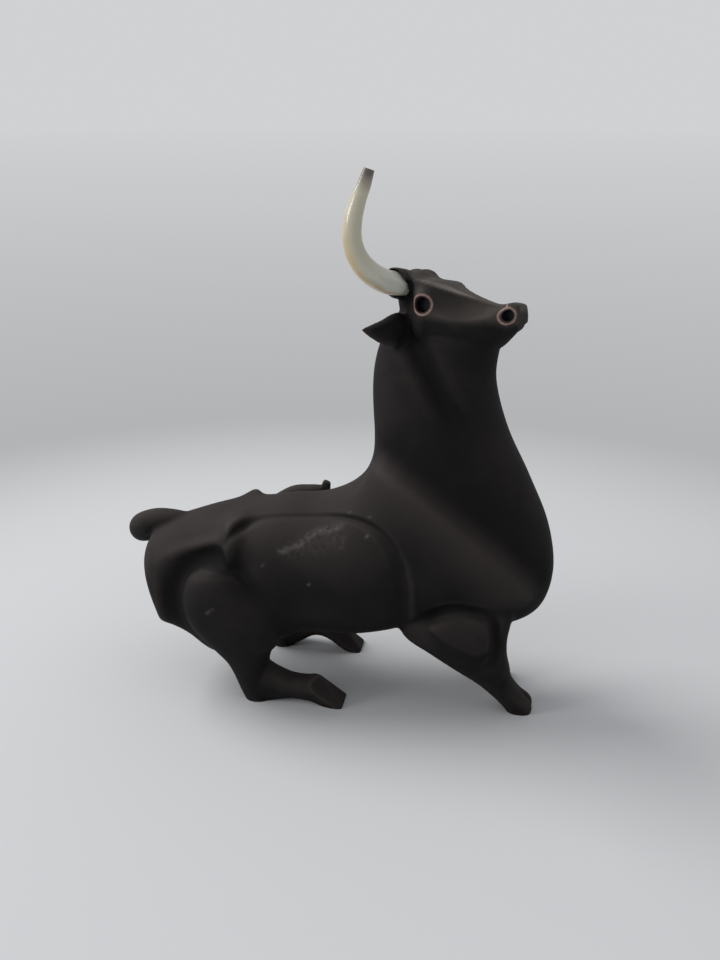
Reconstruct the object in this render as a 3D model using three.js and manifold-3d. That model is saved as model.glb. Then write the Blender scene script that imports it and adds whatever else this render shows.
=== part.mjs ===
// A ceramic bull, crouched on its hind legs with its head turned to the right.
// It is slip cast in parts that are luted together, and its porcelain horn plugs into a socket in the poll.
// Millimetres. +X is towards the bull's nose, +Y to its left, +Z up. It is modelled with the floor at Z = 0.

import * as THREE from "three";
import { mergeVertices } from "three/addons/utils/BufferGeometryUtils.js";
import Module from "manifold-3d";

// Casting
const WALL = 4.5; // thickness of the cast clay
const LUTE = 0.3; // seam of slip between two castings
const VENT_RADIUS = 4.5; // firing vent under the belly
const VENT_AT = { x: -12, y: 0, reach: 60 }; // it runs up to this height

// Head and horn. Lateral is the distance from the head's middle, and drop is the distance below the crown.
const HEAD_TURN = -20; // degrees, towards the bull's right
const HEAD_ROLL = 8.5; // degrees, its right side up
const TURN_AXIS_X = 32; // the neck turns about this upright axis
const TURN_FROM_Z = 114; // below this the neck is straight
const TURN_TO_Z = 168; // above this it has the whole turn
const SOCKET_AT = { lateral: 17, x: 22.25, drop: 6 }; // the middle of each horn socket's mouth
const SOCKET_TILT = 4; // degrees that the socket points up
const COLLAR_RADIUS = 6.3; // of the clay collar round the horn's root
const COLLAR_REACH = 16; // how far the collar runs back into the head
const HORN_ROOT_RADIUS = 5.2;
const ROOT_CLEARANCE = 0.3; // round the horn in the mouth of its socket
const MOUTH_DEPTH = 6.5; // of the wide mouth that takes the horn's root
const PEG_RADIUS = 2.6; // the horn's own peg
const PEG_LENGTH = 7;
const PEG_CLEARANCE = 0.08; // round the peg in its bore
const EYE_AT = { lateral: 18.8, x: 35.9, drop: 9.8 };
const EYE_RADIUS = 3.4; // the pressed cup, inside its incised ring
const NOSTRIL_AT = { lateral: 9.8, x: 70.6, drop: 5.2 };
const NOSTRIL_RADIUS = 2.7;
const CUP_DEPTH = 2.6;
const CUP_OVER = 3; // how far the cutter of a cup stands out of the head
const CUP_FLOOR = 0.62; // its radius at the bottom, as a share of the cup's radius
const CUP_RIM = 1.42; // its radius at the cutter's outer end

// Luting planes, each through a point with a direction that points up the animal
const NECK_SEAM = { point: [17, 0, 121.5], up: [0.68, 0, 0.73] };
const HEAD_SEAM = { point: [32, 0, 173], up: [0.05, 0, 1] };
const TUFT_SEAM = { point: [-51, 37, 76.8], up: [0.94, -0.1, 0.3] };

// Trunk: stations from the rump to the top of the neck. top and low are the two outlines in the side view,
// half is the half width, upper and lower say how square each half of the section is (2 is an ellipse).
const TRUNK = [
  { top: [-101.2, 76], low: [-101.8, 58], half: 19.5, upper: 2.2, lower: 2.8 },
  { top: [-99.4, 79.4], low: [-98.8, 46.5], half: 24.4, upper: 2, lower: 3.4 },
  { top: [-95, 82.6], low: [-95, 35.6], half: 27.2, upper: 1.9, lower: 4.6 },
  { top: [-93, 83.4], low: [-93.5, 33.2], half: 27.8, upper: 1.85, lower: 4.8 },
  { top: [-86, 85.4], low: [-88.4, 30.9], half: 29, upper: 1.8, lower: 4.8 },
  { top: [-73, 88], low: [-80, 26.4], half: 31.2, upper: 1.9, lower: 4.6 },
  { top: [-62, 89.6], low: [-68, 21.4], half: 33, upper: 2.9, lower: 4 },
  { top: [-56, 90.6], low: [-60, 19.6], half: 34, upper: 5, lower: 3.4 },
  { top: [-49, 91.9], low: [-50, 23.5], half: 31.5, upper: 2.8, lower: 2.8 },
  { top: [-34, 95], low: [-30, 32], half: 29.5, upper: 2.5, lower: 2.5 },
  { top: [-18, 97], low: [-8, 33.5], half: 29.5, upper: 2.4, lower: 2.4 },
  { top: [-5, 102.6], low: [16, 36], half: 31, upper: 2.3, lower: 2.4 },
  { top: [2.8, 110.4], low: [42, 38.5], half: 32, upper: 2.2, lower: 2.4 },
  { top: [6.6, 120], low: [66, 39.5], half: 31.5, upper: 2.2, lower: 2.4 },
  { top: [7.5, 131], low: [84.5, 47.5], half: 29.5, upper: 2.4, lower: 2.3 },
  { top: [7.2, 142], low: [91, 65.5], half: 27.5, upper: 2.6, lower: 2.2 },
  { top: [7, 152], low: [87.5, 88], half: 25.5, upper: 2.7, lower: 2.1 },
  { top: [7.6, 161], low: [77.3, 110.5], half: 23.5, upper: 2.7, lower: 2.1 },
  { top: [9.4, 169], low: [66.5, 133], half: 22, upper: 2.6, lower: 2.1 },
  { top: [12.4, 177], low: [60.3, 156], half: 20.5, upper: 2.5, lower: 2.1 },
  { top: [18, 184.5], low: [60.5, 172], half: 17.5, upper: 2.4, lower: 2.1 },
  { top: [26, 190], low: [62, 181], half: 12, upper: 2.4, lower: 2.1 },
];

// Head: stations from the poll to the muzzle. Each is half a section, as [half width, height] pairs:
// the crown's middle height, the ridge, the scooped flank, the cheek crease and the underside.
const HEAD = [
  { x: 17.5, crown: 199.6, ridge: [7, 199], flank: [7.5, 196], cheek: [5.5, 192.5], jaw: [3.4, 190] },
  { x: 20.4, crown: 202.2, ridge: [9.5, 200.6], flank: [11.4, 195], cheek: [9, 188], jaw: [5, 181] },
  { x: 24, crown: 203.6, ridge: [11.5, 201.2], flank: [13.2, 194], cheek: [12, 186], jaw: [8, 174] },
  { x: 27.6, crown: 203, ridge: [14, 200.4], flank: [13.4, 193], cheek: [13.4, 184], jaw: [10, 169.5] },
  { x: 30.8, crown: 200.8, ridge: [17.8, 198.9], flank: [17.2, 192.5], cheek: [17.4, 184], jaw: [11.5, 168] },
  { x: 34.4, crown: 200, ridge: [18.3, 198.8], flank: [19.2, 191.5], cheek: [19.2, 184.5], jaw: [12, 167.5] },
  { x: 38, crown: 198.8, ridge: [17.6, 197.9], flank: [18.2, 190.5], cheek: [19, 185.2], jaw: [12, 167] },
  { x: 42, crown: 196.6, ridge: [13.7, 196.2], flank: [15, 189.5], cheek: [18.6, 185], jaw: [12, 167] },
  { x: 46.5, crown: 195.1, ridge: [9.8, 194.8], flank: [11.6, 188.6], cheek: [18, 184.5], jaw: [11, 168] },
  { x: 52, crown: 193.6, ridge: [6.8, 193.3], flank: [9.2, 188], cheek: [16.8, 184], jaw: [10, 169.5] },
  { x: 59, crown: 191.9, ridge: [5, 191.6], flank: [7.8, 187.8], cheek: [14.2, 184.8], jaw: [8.5, 172] },
  { x: 65, crown: 191.6, ridge: [4.4, 190.9], flank: [8.4, 189.4], cheek: [11.6, 186.4], jaw: [6.6, 175.4] },
  { x: 69.6, crown: 192.7, ridge: [5.6, 192.4], flank: [9.8, 188.8], cheek: [9.8, 184], jaw: [5, 181] },
  { x: 71.8, crown: 192.6, ridge: [5, 192.2], flank: [8.4, 188.4], cheek: [8, 184.2], jaw: [4.4, 182.6] },
  { x: 73.8, crown: 190.6, ridge: [4.2, 190.4], flank: [6.4, 187.8], cheek: [6, 184.6], jaw: [3.8, 183.6] },
];

// Relief on the flanks. It is drawn in the side view as it shows from a little above, on the drawn height.
const SLANT = 0.35; // how fast the drawn height falls outwards from the middle
const DRAWN_FROM = 20; // distance from the middle at which the drawn height is the real one
const BARREL = {
  outline: [
    [-57, 62], [-58.5, 72], [-55.5, 83], [-48, 90], [-37, 92.8], [-24.6, 93.7], [-10.4, 94.6], [0.5, 93.8],
    [10.5, 90], [17.8, 83], [22.2, 74], [24.2, 62], [24, 50], [22, 38], [10, 24], [-10, 20], [-28, 28],
    [-42, 44],
  ],
  rise: 5.6, // the dome over its edge
  edge: 8, // how quickly the dome rises
  groove: 2.6, // where the edge is cut in, above and behind
  width: 2.4,
  offset: 0.6, // the cut's middle lies this far outside the outline
  cutAbove: [62, 74], // drawn heights between which the cut comes in
  // The upright fold in front of the dome
  fold: { rise: 2.2, width: 4, offset: 4, from: [6, 20], above: [30, 52], below: [78, 92] },
};
const THIGH_MOAT = {
  points: [
    [-76, 24], [-83, 36], [-85, 47], [-82.5, 58], [-76, 65.5], [-66, 69.5], [-55, 69], [-46, 63.5], [-36, 57],
  ],
  depth: 4.2,
  width: 6.2,
};
const HIP_EDGE = {
  points: [[-96, 66], [-88.6, 71], [-76.4, 76], [-66, 80.4], [-58, 84]],
  rise: 1.7,
  width: 4.5,
};
const ELBOW = {
  outline: [
    [35, 38.5], [39.5, 46], [48, 50.6], [57, 49.8], [63.4, 44.5], [65.4, 36], [62.5, 28], [55, 29.5],
    [45, 33.5],
  ],
  rise: 2.2,
  edge: 4,
  groove: 2.2,
  width: 2.2,
  offset: 1.4,
  cutAbove: [40, 46],
  cutAhead: [56, 64],
};
const FORELEG_FLANKS = { from: 4, to: 12, middle: -14 }; // where the elbow's relief starts and is whole
const SHOULDER = {
  points: [[5, 128], [16.4, 118.4], [24, 110.9], [35.6, 103], [49, 92], [62.5, 79.2], [72.5, 67.6], [78, 57]],
  rise: 3.6, // the shoulder's front edge over the neck
  drop: 2.2, // the hollow in front of it
  reach: 26, // how far back the shoulder's rise fades out
  slope: { top: 4, foot: 8 }, // how wide the slope in front of it is at its two ends
  hollow: 20, // how far forward the hollow fades out
};
const THROAT = {
  points: [[26, 182], [28.6, 174.8], [32.9, 168], [39.7, 156.5], [45, 146.3], [48.6, 134.2]],
  depth: 3.4,
  width: 5.5,
};
const NAPE = {
  points: [[18, 180], [21.2, 169.6], [24, 159], [27.6, 149], [30.4, 141]],
  depth: 2,
  width: 3.4,
};

// Forelegs: stations from the shoulder to below the floor, as the back and front outlines of the right leg
const FORELEG = [
  { back: [22, 50], front: [77, 66], y: -15, half: 7 },
  { back: [20, 43.5], front: [75.6, 57], y: -16, half: 11.5 },
  { back: [24, 36.2], front: [73.4, 47.4], y: -16.5, half: 14.2 },
  { back: [34, 30.2], front: [71.9, 37.5], y: -16.5, half: 14.2 },
  { back: [46, 22.4], front: [72, 29], y: -16.5, half: 12 },
  { back: [57, 15], front: [73.4, 22.4], y: -16, half: 9 },
  { back: [63.4, 9.3], front: [75.8, 15.8], y: -15.2, half: 7.4 },
  { back: [68.2, 4.5], front: [80.2, 9.6], y: -14.4, half: 7.2 },
  { back: [71.6, 0.6], front: [84, 4.8], y: -13.8, half: 7.2 },
  { back: [73.5, -3], front: [84.6, 1], y: -13.6, half: 7 },
  { back: [73, -7], front: [83, -4], y: -13.6, half: 6.6 },
];
const LEFT_FORELEG_SET_BACK = 11; // the left foreleg stands this much further back

// Hind legs: the thigh and shank down to the hock, and the foot from the hock to the hoof, of the right leg
const THIGH = [
  { back: [-69, 69], front: [-56, 69.5], y: -28, half: 5 },
  { back: [-75.5, 64.5], front: [-47.5, 66.5], y: -28, half: 8.6 },
  { back: [-79, 57], front: [-40, 58.5], y: -27.5, half: 11 },
  { back: [-79.5, 47.5], front: [-35, 49], y: -27, half: 12 },
  { back: [-75, 37.5], front: [-33, 40], y: -26.5, half: 12 },
  { back: [-68, 29], front: [-34, 32.5], y: -25.5, half: 11 },
  { back: [-60.5, 20], front: [-38.6, 26], y: -24, half: 9.4 },
  { back: [-57, 11.5], front: [-40.4, 18.5], y: -22.5, half: 8.2 },
  { back: [-54.6, 4], front: [-40, 10], y: -21.5, half: 7.6 },
  { back: [-51, -3], front: [-40, -3], y: -21.5, half: 6.8 },
];
const LEFT_HIND_LEG_SPLAY = 12; // the left hind foot stands this much further out
const SPLAY_HEIGHTS = [8, 55]; // it is whole at the first height and starts at the second
const FOOT = [
  { top: [-51.5, 12], low: [-50.5, -2], y: -21.5, half: 6.6 },
  { top: [-44, 19.4], low: [-44, -2.5], y: -21.5, half: 7.4 },
  { top: [-37, 16], low: [-36, -0.4], y: -21.5, half: 7.2 },
  { top: [-30, 12.9], low: [-28.5, 1.1], y: -21.5, half: 6.9 },
  { top: [-22, 12.2], low: [-20, 0.4], y: -21.5, half: 7 },
  { top: [-14.8, 13], low: [-12.5, -2], y: -21.5, half: 7.6 },
  { top: [-10, 9.4], low: [-8, -3], y: -21.5, half: 7.8 },
  { top: [-5.4, 4.6], low: [-5, -3], y: -21.5, half: 6.6 },
  { top: [-3.8, 1.6], low: [-4.4, -2], y: -21.5, half: 4.6 },
];

// Tail: it leaves the rump, loops back and lies along the left flank
const TAIL = [
  [-82, 0, 79], [-91, 0, 79.6], [-100, 0.4, 79.2], [-107.8, 1.8, 75.8], [-109.6, 6.4, 71.4],
  [-105, 15, 69.2], [-96.4, 24.6, 68.4], [-86, 32, 69], [-75, 36.4, 70.8], [-63, 38.4, 73.6], [-50, 36.8, 77],
];
const TAIL_RADII = [4.8, 5.6, 5.9, 6.1, 6, 5.4, 4.8, 4.4, 4, 3.6, 3.2];
const TUFT = [
  [-53, 37.2, 76.2], [-46, 34.8, 79.8], [-38, 32.8, 84], [-30, 31.6, 86.6], [-24, 31, 88.2],
  [-21.6, 31, 90.4],
];
const TUFT_RADII = [3.2, 4.4, 5, 4.2, 3.4, 2.2];

// Horn: its middle line from the socket out, as [outwards, x, upwards] from the socket's middle
const HORN = [
  [0, 22.25, 0], [6.5, 20.9, 0.6], [17, 19.2, 4.1], [24, 17.7, 9.6], [27.5, 17, 16.6],
  [28.5, 17.9, 24.4], [28, 19.9, 32.2], [27, 22, 38], [25.5, 23.5, 44.3],
];
const HORN_RADII = [5.2, 5.1, 4.9, 4.6, 4.3, 4.0, 3.5, 2.9, 2.2];

// Ears: a cupped leaf from its root on the cheek to its tip, as [lateral, x, height]
const EAR = [
  { at: [12, 26.4, 177.6], high: 6.8, thick: 3.2, cup: 0 },
  { at: [17, 24.2, 177.6], high: 7.7, thick: 3, cup: 1 },
  { at: [22, 22.4, 176.8], high: 7, thick: 2.6, cup: 2 },
  { at: [26, 20.6, 176], high: 5.5, thick: 2.2, cup: 2.1 },
  { at: [30, 18.2, 176.1], high: 3.3, thick: 1.6, cup: 1.2 },
  { at: [34.2, 15.7, 176.6], high: 0.6, thick: 0.6, cup: 0 },
];

const EAR_TURN = 20.4; // degrees that the ear's cup is turned outwards from straight ahead

// How finely each form is skinned
const TRUNK_RINGS = 50;
const TRUNK_SIDES = 32;
const CAVITY_RINGS = 22;
const CAVITY_SIDES = 16;
const HEAD_STEPS = 2; // rings of the head from one station to the next
const LEG = { rings: 20, sides: 18 };
const FOOT_SKIN = { rings: 18, sides: 16 };
const TAIL_SKIN = { rings: 24, sides: 10 };
const TUFT_SKIN = { rings: 10, sides: 10 };
const HORN_SKIN = { rings: 22, sides: 16 };
const EAR_SKIN = { rings: 9, sides: 12 };
const ROUND_SIDES = 20; // of the collars, sockets, cups and the vent
const BLOCK = 600; // edge of the blocks that cut at the luting planes, larger than the figure

const { smoothstep } = THREE.MathUtils;
const wasm = await Module();
wasm.setup();

// Turns a closed three.js geometry into a solid for booleans.
function solid(geometry) {
  const bare = geometry.clone();
  bare.deleteAttribute("normal");
  bare.deleteAttribute("uv");
  const merged = mergeVertices(bare, 1e-4);
  return new wasm.Manifold(
    new wasm.Mesh({
      numProp: 3,
      vertProperties: new Float32Array(merged.attributes.position.array),
      triVerts: new Uint32Array(merged.index.array),
    }),
  );
}

// Turns a solid back into a geometry.
function geometryOf(body) {
  const mesh = body.getMesh();
  const positions = new Float32Array(mesh.numVert * 3);
  for (let i = 0; i < mesh.numVert; i++) {
    positions.set(mesh.vertProperties.subarray(i * mesh.numProp, i * mesh.numProp + 3), i * 3);
  }
  const geometry = new THREE.BufferGeometry();
  geometry.setAttribute("position", new THREE.BufferAttribute(positions, 3));
  geometry.setIndex(new THREE.BufferAttribute(new Uint32Array(mesh.triVerts), 1));
  geometry.computeVertexNormals();
  return geometry;
}

// Skins closed rings of points, each with as many points, into one closed geometry with a fan at each end.
function skin(rings) {
  const sides = rings[0].length;
  const middle = (ring) => ring.reduce((sum, p) => sum.add(p), new THREE.Vector3()).divideScalar(sides);
  const points = [...rings.flat(), middle(rings[0]), middle(rings.at(-1))];
  const start = rings.length * sides;
  const faces = [];
  for (let s = 0; s < sides; s++) {
    const next = (s + 1) % sides;
    for (let r = 0; r + 1 < rings.length; r++) {
      const [a, b] = [r * sides + s, r * sides + next];
      const [c, d] = [a + sides, b + sides];
      faces.push(a, b, d, a, d, c);
    }
    const last = (rings.length - 1) * sides;
    faces.push(start, next, s, start + 1, last + s, last + next);
  }
  const geometry = new THREE.BufferGeometry().setFromPoints(points);
  geometry.setIndex(faces);
  geometry.computeVertexNormals();
  return facingOut(geometry);
}

// Gives the geometry back with its faces turned outwards.
function facingOut(geometry) {
  const p = geometry.attributes.position;
  const index = geometry.index.array;
  const [a, b, c] = [new THREE.Vector3(), new THREE.Vector3(), new THREE.Vector3()];
  let volume = 0;
  for (let i = 0; i < index.length; i += 3) {
    a.fromBufferAttribute(p, index[i]);
    b.fromBufferAttribute(p, index[i + 1]);
    c.fromBufferAttribute(p, index[i + 2]);
    volume += a.dot(b.cross(c));
  }
  if (volume < 0) {
    geometry.setIndex([...index].reverse());
    geometry.computeVertexNormals();
  }
  return geometry;
}

// A smooth curve through rows of up to three numbers, read by its share from 0 to 1.
function through(rows) {
  const points = rows.map(([x, y = 0, z = 0]) => new THREE.Vector3(x, y, z));
  return new THREE.CatmullRomCurve3(points, false, "catmullrom", 0.5);
}

const signedPower = (value, power) => Math.sign(value) * Math.abs(value) ** power;

// A form between two outlines of the side view, with an oval section at each station.
// grow moves the whole skin outwards, or inwards where it is negative.
function betweenOutlines(stations, { first, second, rings, sides, grow = 0, from = 0, to = 1 }) {
  const one = through(stations.map((s) => s[first]));
  const two = through(stations.map((s) => s[second]));
  const width = through(stations.map((s) => [s.half, s.upper ?? 2.2, s.lower ?? 2.2]));
  const side = through(stations.map((s) => [s.y ?? 0]));
  const made = [];
  for (let r = 0; r <= rings; r++) {
    const u = from + ((to - from) * r) / rings;
    const a = one.getPoint(u);
    const b = two.getPoint(u);
    const w = width.getPoint(u);
    const y = side.getPoint(u).x;
    const across = new THREE.Vector3((a.x - b.x) / 2, 0, (a.y - b.y) / 2);
    const centre = new THREE.Vector3((a.x + b.x) / 2, y, (a.y + b.y) / 2);
    across.setLength(Math.max(across.length() + grow, 0.4));
    const half = Math.max(w.x + grow, 0.4);
    const ring = [];
    for (let s = 0; s < sides; s++) {
      const angle = (2 * Math.PI * s) / sides;
      const square = Math.cos(angle) > 0 ? w.y : w.z;
      const along = signedPower(Math.cos(angle), 2 / square);
      const out = signedPower(Math.sin(angle), 2 / square);
      ring.push(centre.clone().addScaledVector(across, along).add(new THREE.Vector3(0, half * out, 0)));
    }
    made.push(ring);
  }
  return skin(made);
}

// A round form along a curve, with a radius at each of its points.
function alongCurve(points, radii, { rings, sides }) {
  const line = through(points);
  const size = through(radii.map((r) => [r]));
  const frames = line.computeFrenetFrames(rings, false);
  const made = [];
  for (let r = 0; r <= rings; r++) {
    const u = r / rings;
    const centre = line.getPointAt(u);
    const radius = size.getPoint(line.getUtoTmapping(u)).x;
    const ring = [];
    for (let s = 0; s < sides; s++) {
      const angle = (2 * Math.PI * s) / sides;
      ring.push(
        centre
          .clone()
          .addScaledVector(frames.normals[r], radius * Math.cos(angle))
          .addScaledVector(frames.binormals[r], radius * Math.sin(angle)),
      );
    }
    made.push(ring);
  }
  return skin(made);
}

// How far (x, z) lies from a line through points of the side view, positive on its upper right side,
// and how far along the line it is, from 0 to 1.
function beside(x, z, points) {
  let best = { distance: Infinity, sign: 1, share: 0 };
  for (let i = 0; i + 1 < points.length; i++) {
    const [[ax, az], [bx, bz]] = [points[i], points[i + 1]];
    const [dx, dz] = [bx - ax, bz - az];
    const t = THREE.MathUtils.clamp(((x - ax) * dx + (z - az) * dz) / (dx * dx + dz * dz), 0, 1);
    const distance = Math.hypot(x - ax - t * dx, z - az - t * dz);
    if (distance < best.distance) {
      const sign = (x - ax) * dz - (z - az) * dx < 0 ? 1 : -1;
      best = { distance, sign, share: (i + t) / (points.length - 1) };
    }
  }
  return best;
}

const bell = (value, width) => Math.exp(-((value / width) ** 2));
const ENDS_SHARE = 0.14; // of a crest or valley, over which each of its ends fades
const endsFade = (share) => smoothstep(Math.min(share, 1 - share), 0, ENDS_SHARE);

// The drawn height of a point of the flank.
const drawnHeight = (y, z) => z - SLANT * (Math.abs(y) - DRAWN_FROM);

// How far (x, h) lies inside a closed outline, negative outside it.
function depthInside(x, h, outline) {
  const closed = [...outline, outline[0]];
  let inside = false;
  for (let i = 0; i + 1 < closed.length; i++) {
    const [[ax, ah], [bx, bh]] = [closed[i], closed[i + 1]];
    if (ah > h !== bh > h && x < ax + ((bx - ax) * (h - ah)) / (bh - ah)) inside = !inside;
  }
  const { distance } = beside(x, h, closed);
  return inside ? distance : -distance;
}

// Height of the barrel: a dome that is cut in above and behind, and has an upright fold in front of it.
function barrel(x, h) {
  const depth = depthInside(x, h, BARREL.outline);
  const { rise, width, offset, from, above, below } = BARREL.fold;
  const dome = BARREL.rise * (1 - Math.exp(-Math.max(depth, 0) / BARREL.edge));
  const cut = BARREL.groove * smoothstep(h, ...BARREL.cutAbove) * bell(depth + BARREL.offset, BARREL.width);
  const upright = smoothstep(x, ...from) * smoothstep(h, ...above) * (1 - smoothstep(h, ...below));
  return dome - cut + rise * upright * bell(depth + offset, width);
}

// Height of the elbow: a low dome, cut in above and in front.
function elbow(x, h) {
  const depth = depthInside(x, h, ELBOW.outline);
  const dome = ELBOW.rise * (1 - Math.exp(-Math.max(depth, 0) / ELBOW.edge));
  const cut = Math.max(smoothstep(h, ...ELBOW.cutAbove), smoothstep(x, ...ELBOW.cutAhead));
  return dome - ELBOW.groove * cut * bell(depth + ELBOW.offset, ELBOW.width);
}

// Height of a valley along a line.
function valley(x, h, { points, depth, width }) {
  const near = beside(x, h, points);
  return -depth * endsFade(near.share) * bell(near.distance, width);
}

// Height of the hip's edge: a soft ridge that stands over the valley round the thigh.
function hipEdge(x, h) {
  const near = beside(x, h, HIP_EDGE.points);
  return HIP_EDGE.rise * endsFade(near.share) * bell(near.distance, HIP_EDGE.width);
}

// Height of the shoulder: it stands over the neck along its front edge, and fades out behind.
// The slope in front of it widens towards the chest.
function shoulder(x, h) {
  const near = beside(x, h, SHOULDER.points);
  const fade = endsFade(near.share);
  if (near.sign < 0) return SHOULDER.rise * fade * bell(near.distance, SHOULDER.reach);
  const width = THREE.MathUtils.lerp(SHOULDER.slope.top, SHOULDER.slope.foot, near.share);
  const fall = (SHOULDER.rise + SHOULDER.drop) * bell(near.distance, width);
  return fade * (fall - SHOULDER.drop * bell(near.distance, SHOULDER.hollow));
}

const FLANKS = { from: 8, to: 22 }; // how far from the trunk's middle its relief starts, and is whole

// All the relief of the trunk's flanks.
function trunkRelief(x, y, z) {
  const h = drawnHeight(y, z);
  const raised = barrel(x, h) + hipEdge(x, h) + shoulder(x, h);
  return raised + valley(x, h, THIGH_MOAT) + valley(x, h, THROAT) + valley(x, h, NAPE);
}

// Moves each point of a geometry along its normal, by a height that its position sets.
function swell(geometry, heightAt) {
  const p = geometry.attributes.position;
  const n = geometry.attributes.normal;
  for (let i = 0; i < p.count; i++) {
    const [x, y, z] = [p.getX(i), p.getY(i), p.getZ(i)];
    const height = heightAt(x, y, z);
    p.setXYZ(i, x + height * n.getX(i), y + height * n.getY(i), z + height * n.getZ(i));
  }
  geometry.computeVertexNormals();
  return geometry;
}

// Gives a geometry a relief on its flanks. It starts at one distance from its middle and is whole at another.
function carve(geometry, relief, { from, to, middle = 0 }) {
  return swell(geometry, (x, y, z) => smoothstep(Math.abs(y - middle), from, to) * relief(x, y, z));
}

// Turns a point of the upper neck or head about the neck's upright axis, and rolls it.
function turned({ x, y, z }) {
  const share = smoothstep(z, TURN_FROM_Z, TURN_TO_Z);
  const roll = Math.tan(THREE.MathUtils.degToRad(HEAD_ROLL) * share);
  const angle = THREE.MathUtils.degToRad(HEAD_TURN) * share;
  const out = new THREE.Vector3(x - TURN_AXIS_X, y, z - y * roll);
  out.applyAxisAngle(new THREE.Vector3(0, 0, 1), angle);
  out.x += TURN_AXIS_X;
  return out;
}

function turnHead(geometry) {
  const p = geometry.attributes.position;
  for (let i = 0; i < p.count; i++) {
    const point = turned(new THREE.Vector3().fromBufferAttribute(p, i));
    p.setXYZ(i, point.x, point.y, point.z);
  }
  return geometry;
}

// The trunk: rump, barrel, shoulders, chest and neck in one skin.
function trunk(grow = 0) {
  const form = betweenOutlines(TRUNK, {
    first: "top", second: "low", rings: TRUNK_RINGS, sides: TRUNK_SIDES, grow,
  });
  return solid(turnHead(carve(form, trunkRelief, FLANKS)));
}

// The hollow inside the trunk.
function trunkCavity() {
  const form = betweenOutlines(TRUNK, {
    first: "top", second: "low", rings: CAVITY_RINGS, sides: CAVITY_SIDES, grow: -WALL, from: 0.05, to: 0.94,
  });
  return solid(turnHead(carve(form, trunkRelief, FLANKS)));
}

// One ring of the head: straight from the crown to the ridge, scooped down to the cheek, and round below.
function headRing({ x, crown, ridge, flank, cheek, jaw }) {
  const outline = new THREE.Path();
  outline.moveTo(0, crown);
  outline.lineTo(...ridge);
  outline.quadraticCurveTo(flank[0], flank[1], cheek[0], cheek[1]);
  outline.quadraticCurveTo(cheek[0] * 1.04, (cheek[1] + jaw[1]) / 2, jaw[0], jaw[1]);
  outline.quadraticCurveTo(jaw[0] * 0.6, jaw[1] - 2, 0, jaw[1] - 2.4);
  const half = [
    ...outline.curves[0].getPoints(2),
    ...outline.curves[1].getPoints(3).slice(1),
    ...outline.curves[2].getPoints(3).slice(1),
    ...outline.curves[3].getPoints(2).slice(1),
  ];
  const left = half.map((p) => new THREE.Vector3(x, p.x, p.y));
  const right = half.slice(1, -1).reverse().map((p) => new THREE.Vector3(x, -p.x, p.y));
  return [...left, ...right];
}

// The head's stations, with smooth ones between them.
function headStations(between) {
  const keys = ["ridge", "flank", "cheek", "jaw"];
  const line = (pick) => through(HEAD.map(pick));
  const crown = line((s) => [s.x, s.crown]);
  const curves = keys.map((key) => line((s) => s[key]));
  const count = (HEAD.length - 1) * between;
  const stations = [];
  for (let i = 0; i <= count; i++) {
    const u = i / count;
    const [x, top] = crown.getPoint(u).toArray();
    const pairs = curves.map((curve) => curve.getPoint(u).toArray().slice(0, 2));
    stations.push({ x, crown: top, ...Object.fromEntries(keys.map((key, k) => [key, pairs[k]])) });
  }
  return stations;
}

function headForm(grow = 0) {
  return solid(turnHead(swell(skin(headStations(HEAD_STEPS).map(headRing)), () => grow)));
}

// A point of the turned head. side is -1 on the bull's right.
function headPoint(lateral, x, z, side) {
  return turned(new THREE.Vector3(x, side * lateral, z));
}

// The crown's height at an x of the head.
function crownAt(x) {
  const next = HEAD.findIndex((s) => s.x >= x);
  const [a, b] = [HEAD[next - 1], HEAD[next]];
  return THREE.MathUtils.mapLinear(x, a.x, b.x, a.crown, b.crown);
}

// A place on the head that is given by its drop below the crown.
function headPlace({ lateral, x, drop }, side) {
  return headPoint(lateral, x, crownAt(x) - drop, side);
}

// The way out of the head at a side, tilted up.
function outwards(side, degrees = 0) {
  const tilt = THREE.MathUtils.degToRad(degrees);
  const [one, middle] = [1, 0].map((lateral) => headPlace({ ...SOCKET_AT, lateral }, side));
  const out = one.sub(middle).normalize();
  return out.multiplyScalar(Math.cos(tilt)).add(new THREE.Vector3(0, 0, Math.sin(tilt))).normalize();
}

// A round bar along a direction, from one distance to another out of a point.
function bar(point, axis, from, to, radius, endRadius = radius) {
  const geometry = new THREE.CylinderGeometry(endRadius, radius, to - from, ROUND_SIDES);
  geometry.translate(0, (from + to) / 2, 0);
  geometry.applyQuaternion(new THREE.Quaternion().setFromUnitVectors(new THREE.Vector3(0, 1, 0), axis));
  geometry.translate(...point.toArray());
  return solid(geometry);
}

const socketMouth = (side) => headPlace(SOCKET_AT, side);

// The collar of clay that a horn stands in, round where it runs into the head.
function collar(side) {
  const profile = [[0, 1], [0.6, 0.96], [0.95, 0.8], [1.06, 0.5], [1.05, 0.2], [1, 0], [0, 0]];
  const points = profile.map(([r, back]) => new THREE.Vector2(r * COLLAR_RADIUS, -back * COLLAR_REACH));
  const geometry = new THREE.LatheGeometry(points, ROUND_SIDES);
  const up = new THREE.Vector3(0, 1, 0);
  geometry.applyQuaternion(new THREE.Quaternion().setFromUnitVectors(up, outwards(side, SOCKET_TILT)));
  geometry.translate(...socketMouth(side).toArray());
  return solid(geometry);
}

// The stepped hole that takes a horn: a wide mouth for its root and a narrow bore for its peg.
function socket(side) {
  const axis = outwards(side, SOCKET_TILT);
  const depth = MOUTH_DEPTH + PEG_LENGTH;
  return bar(socketMouth(side), axis, -MOUTH_DEPTH, 12, HORN_ROOT_RADIUS + ROOT_CLEARANCE).add(
    bar(socketMouth(side), axis, -depth, 1, PEG_RADIUS + PEG_CLEARANCE),
  );
}

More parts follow.
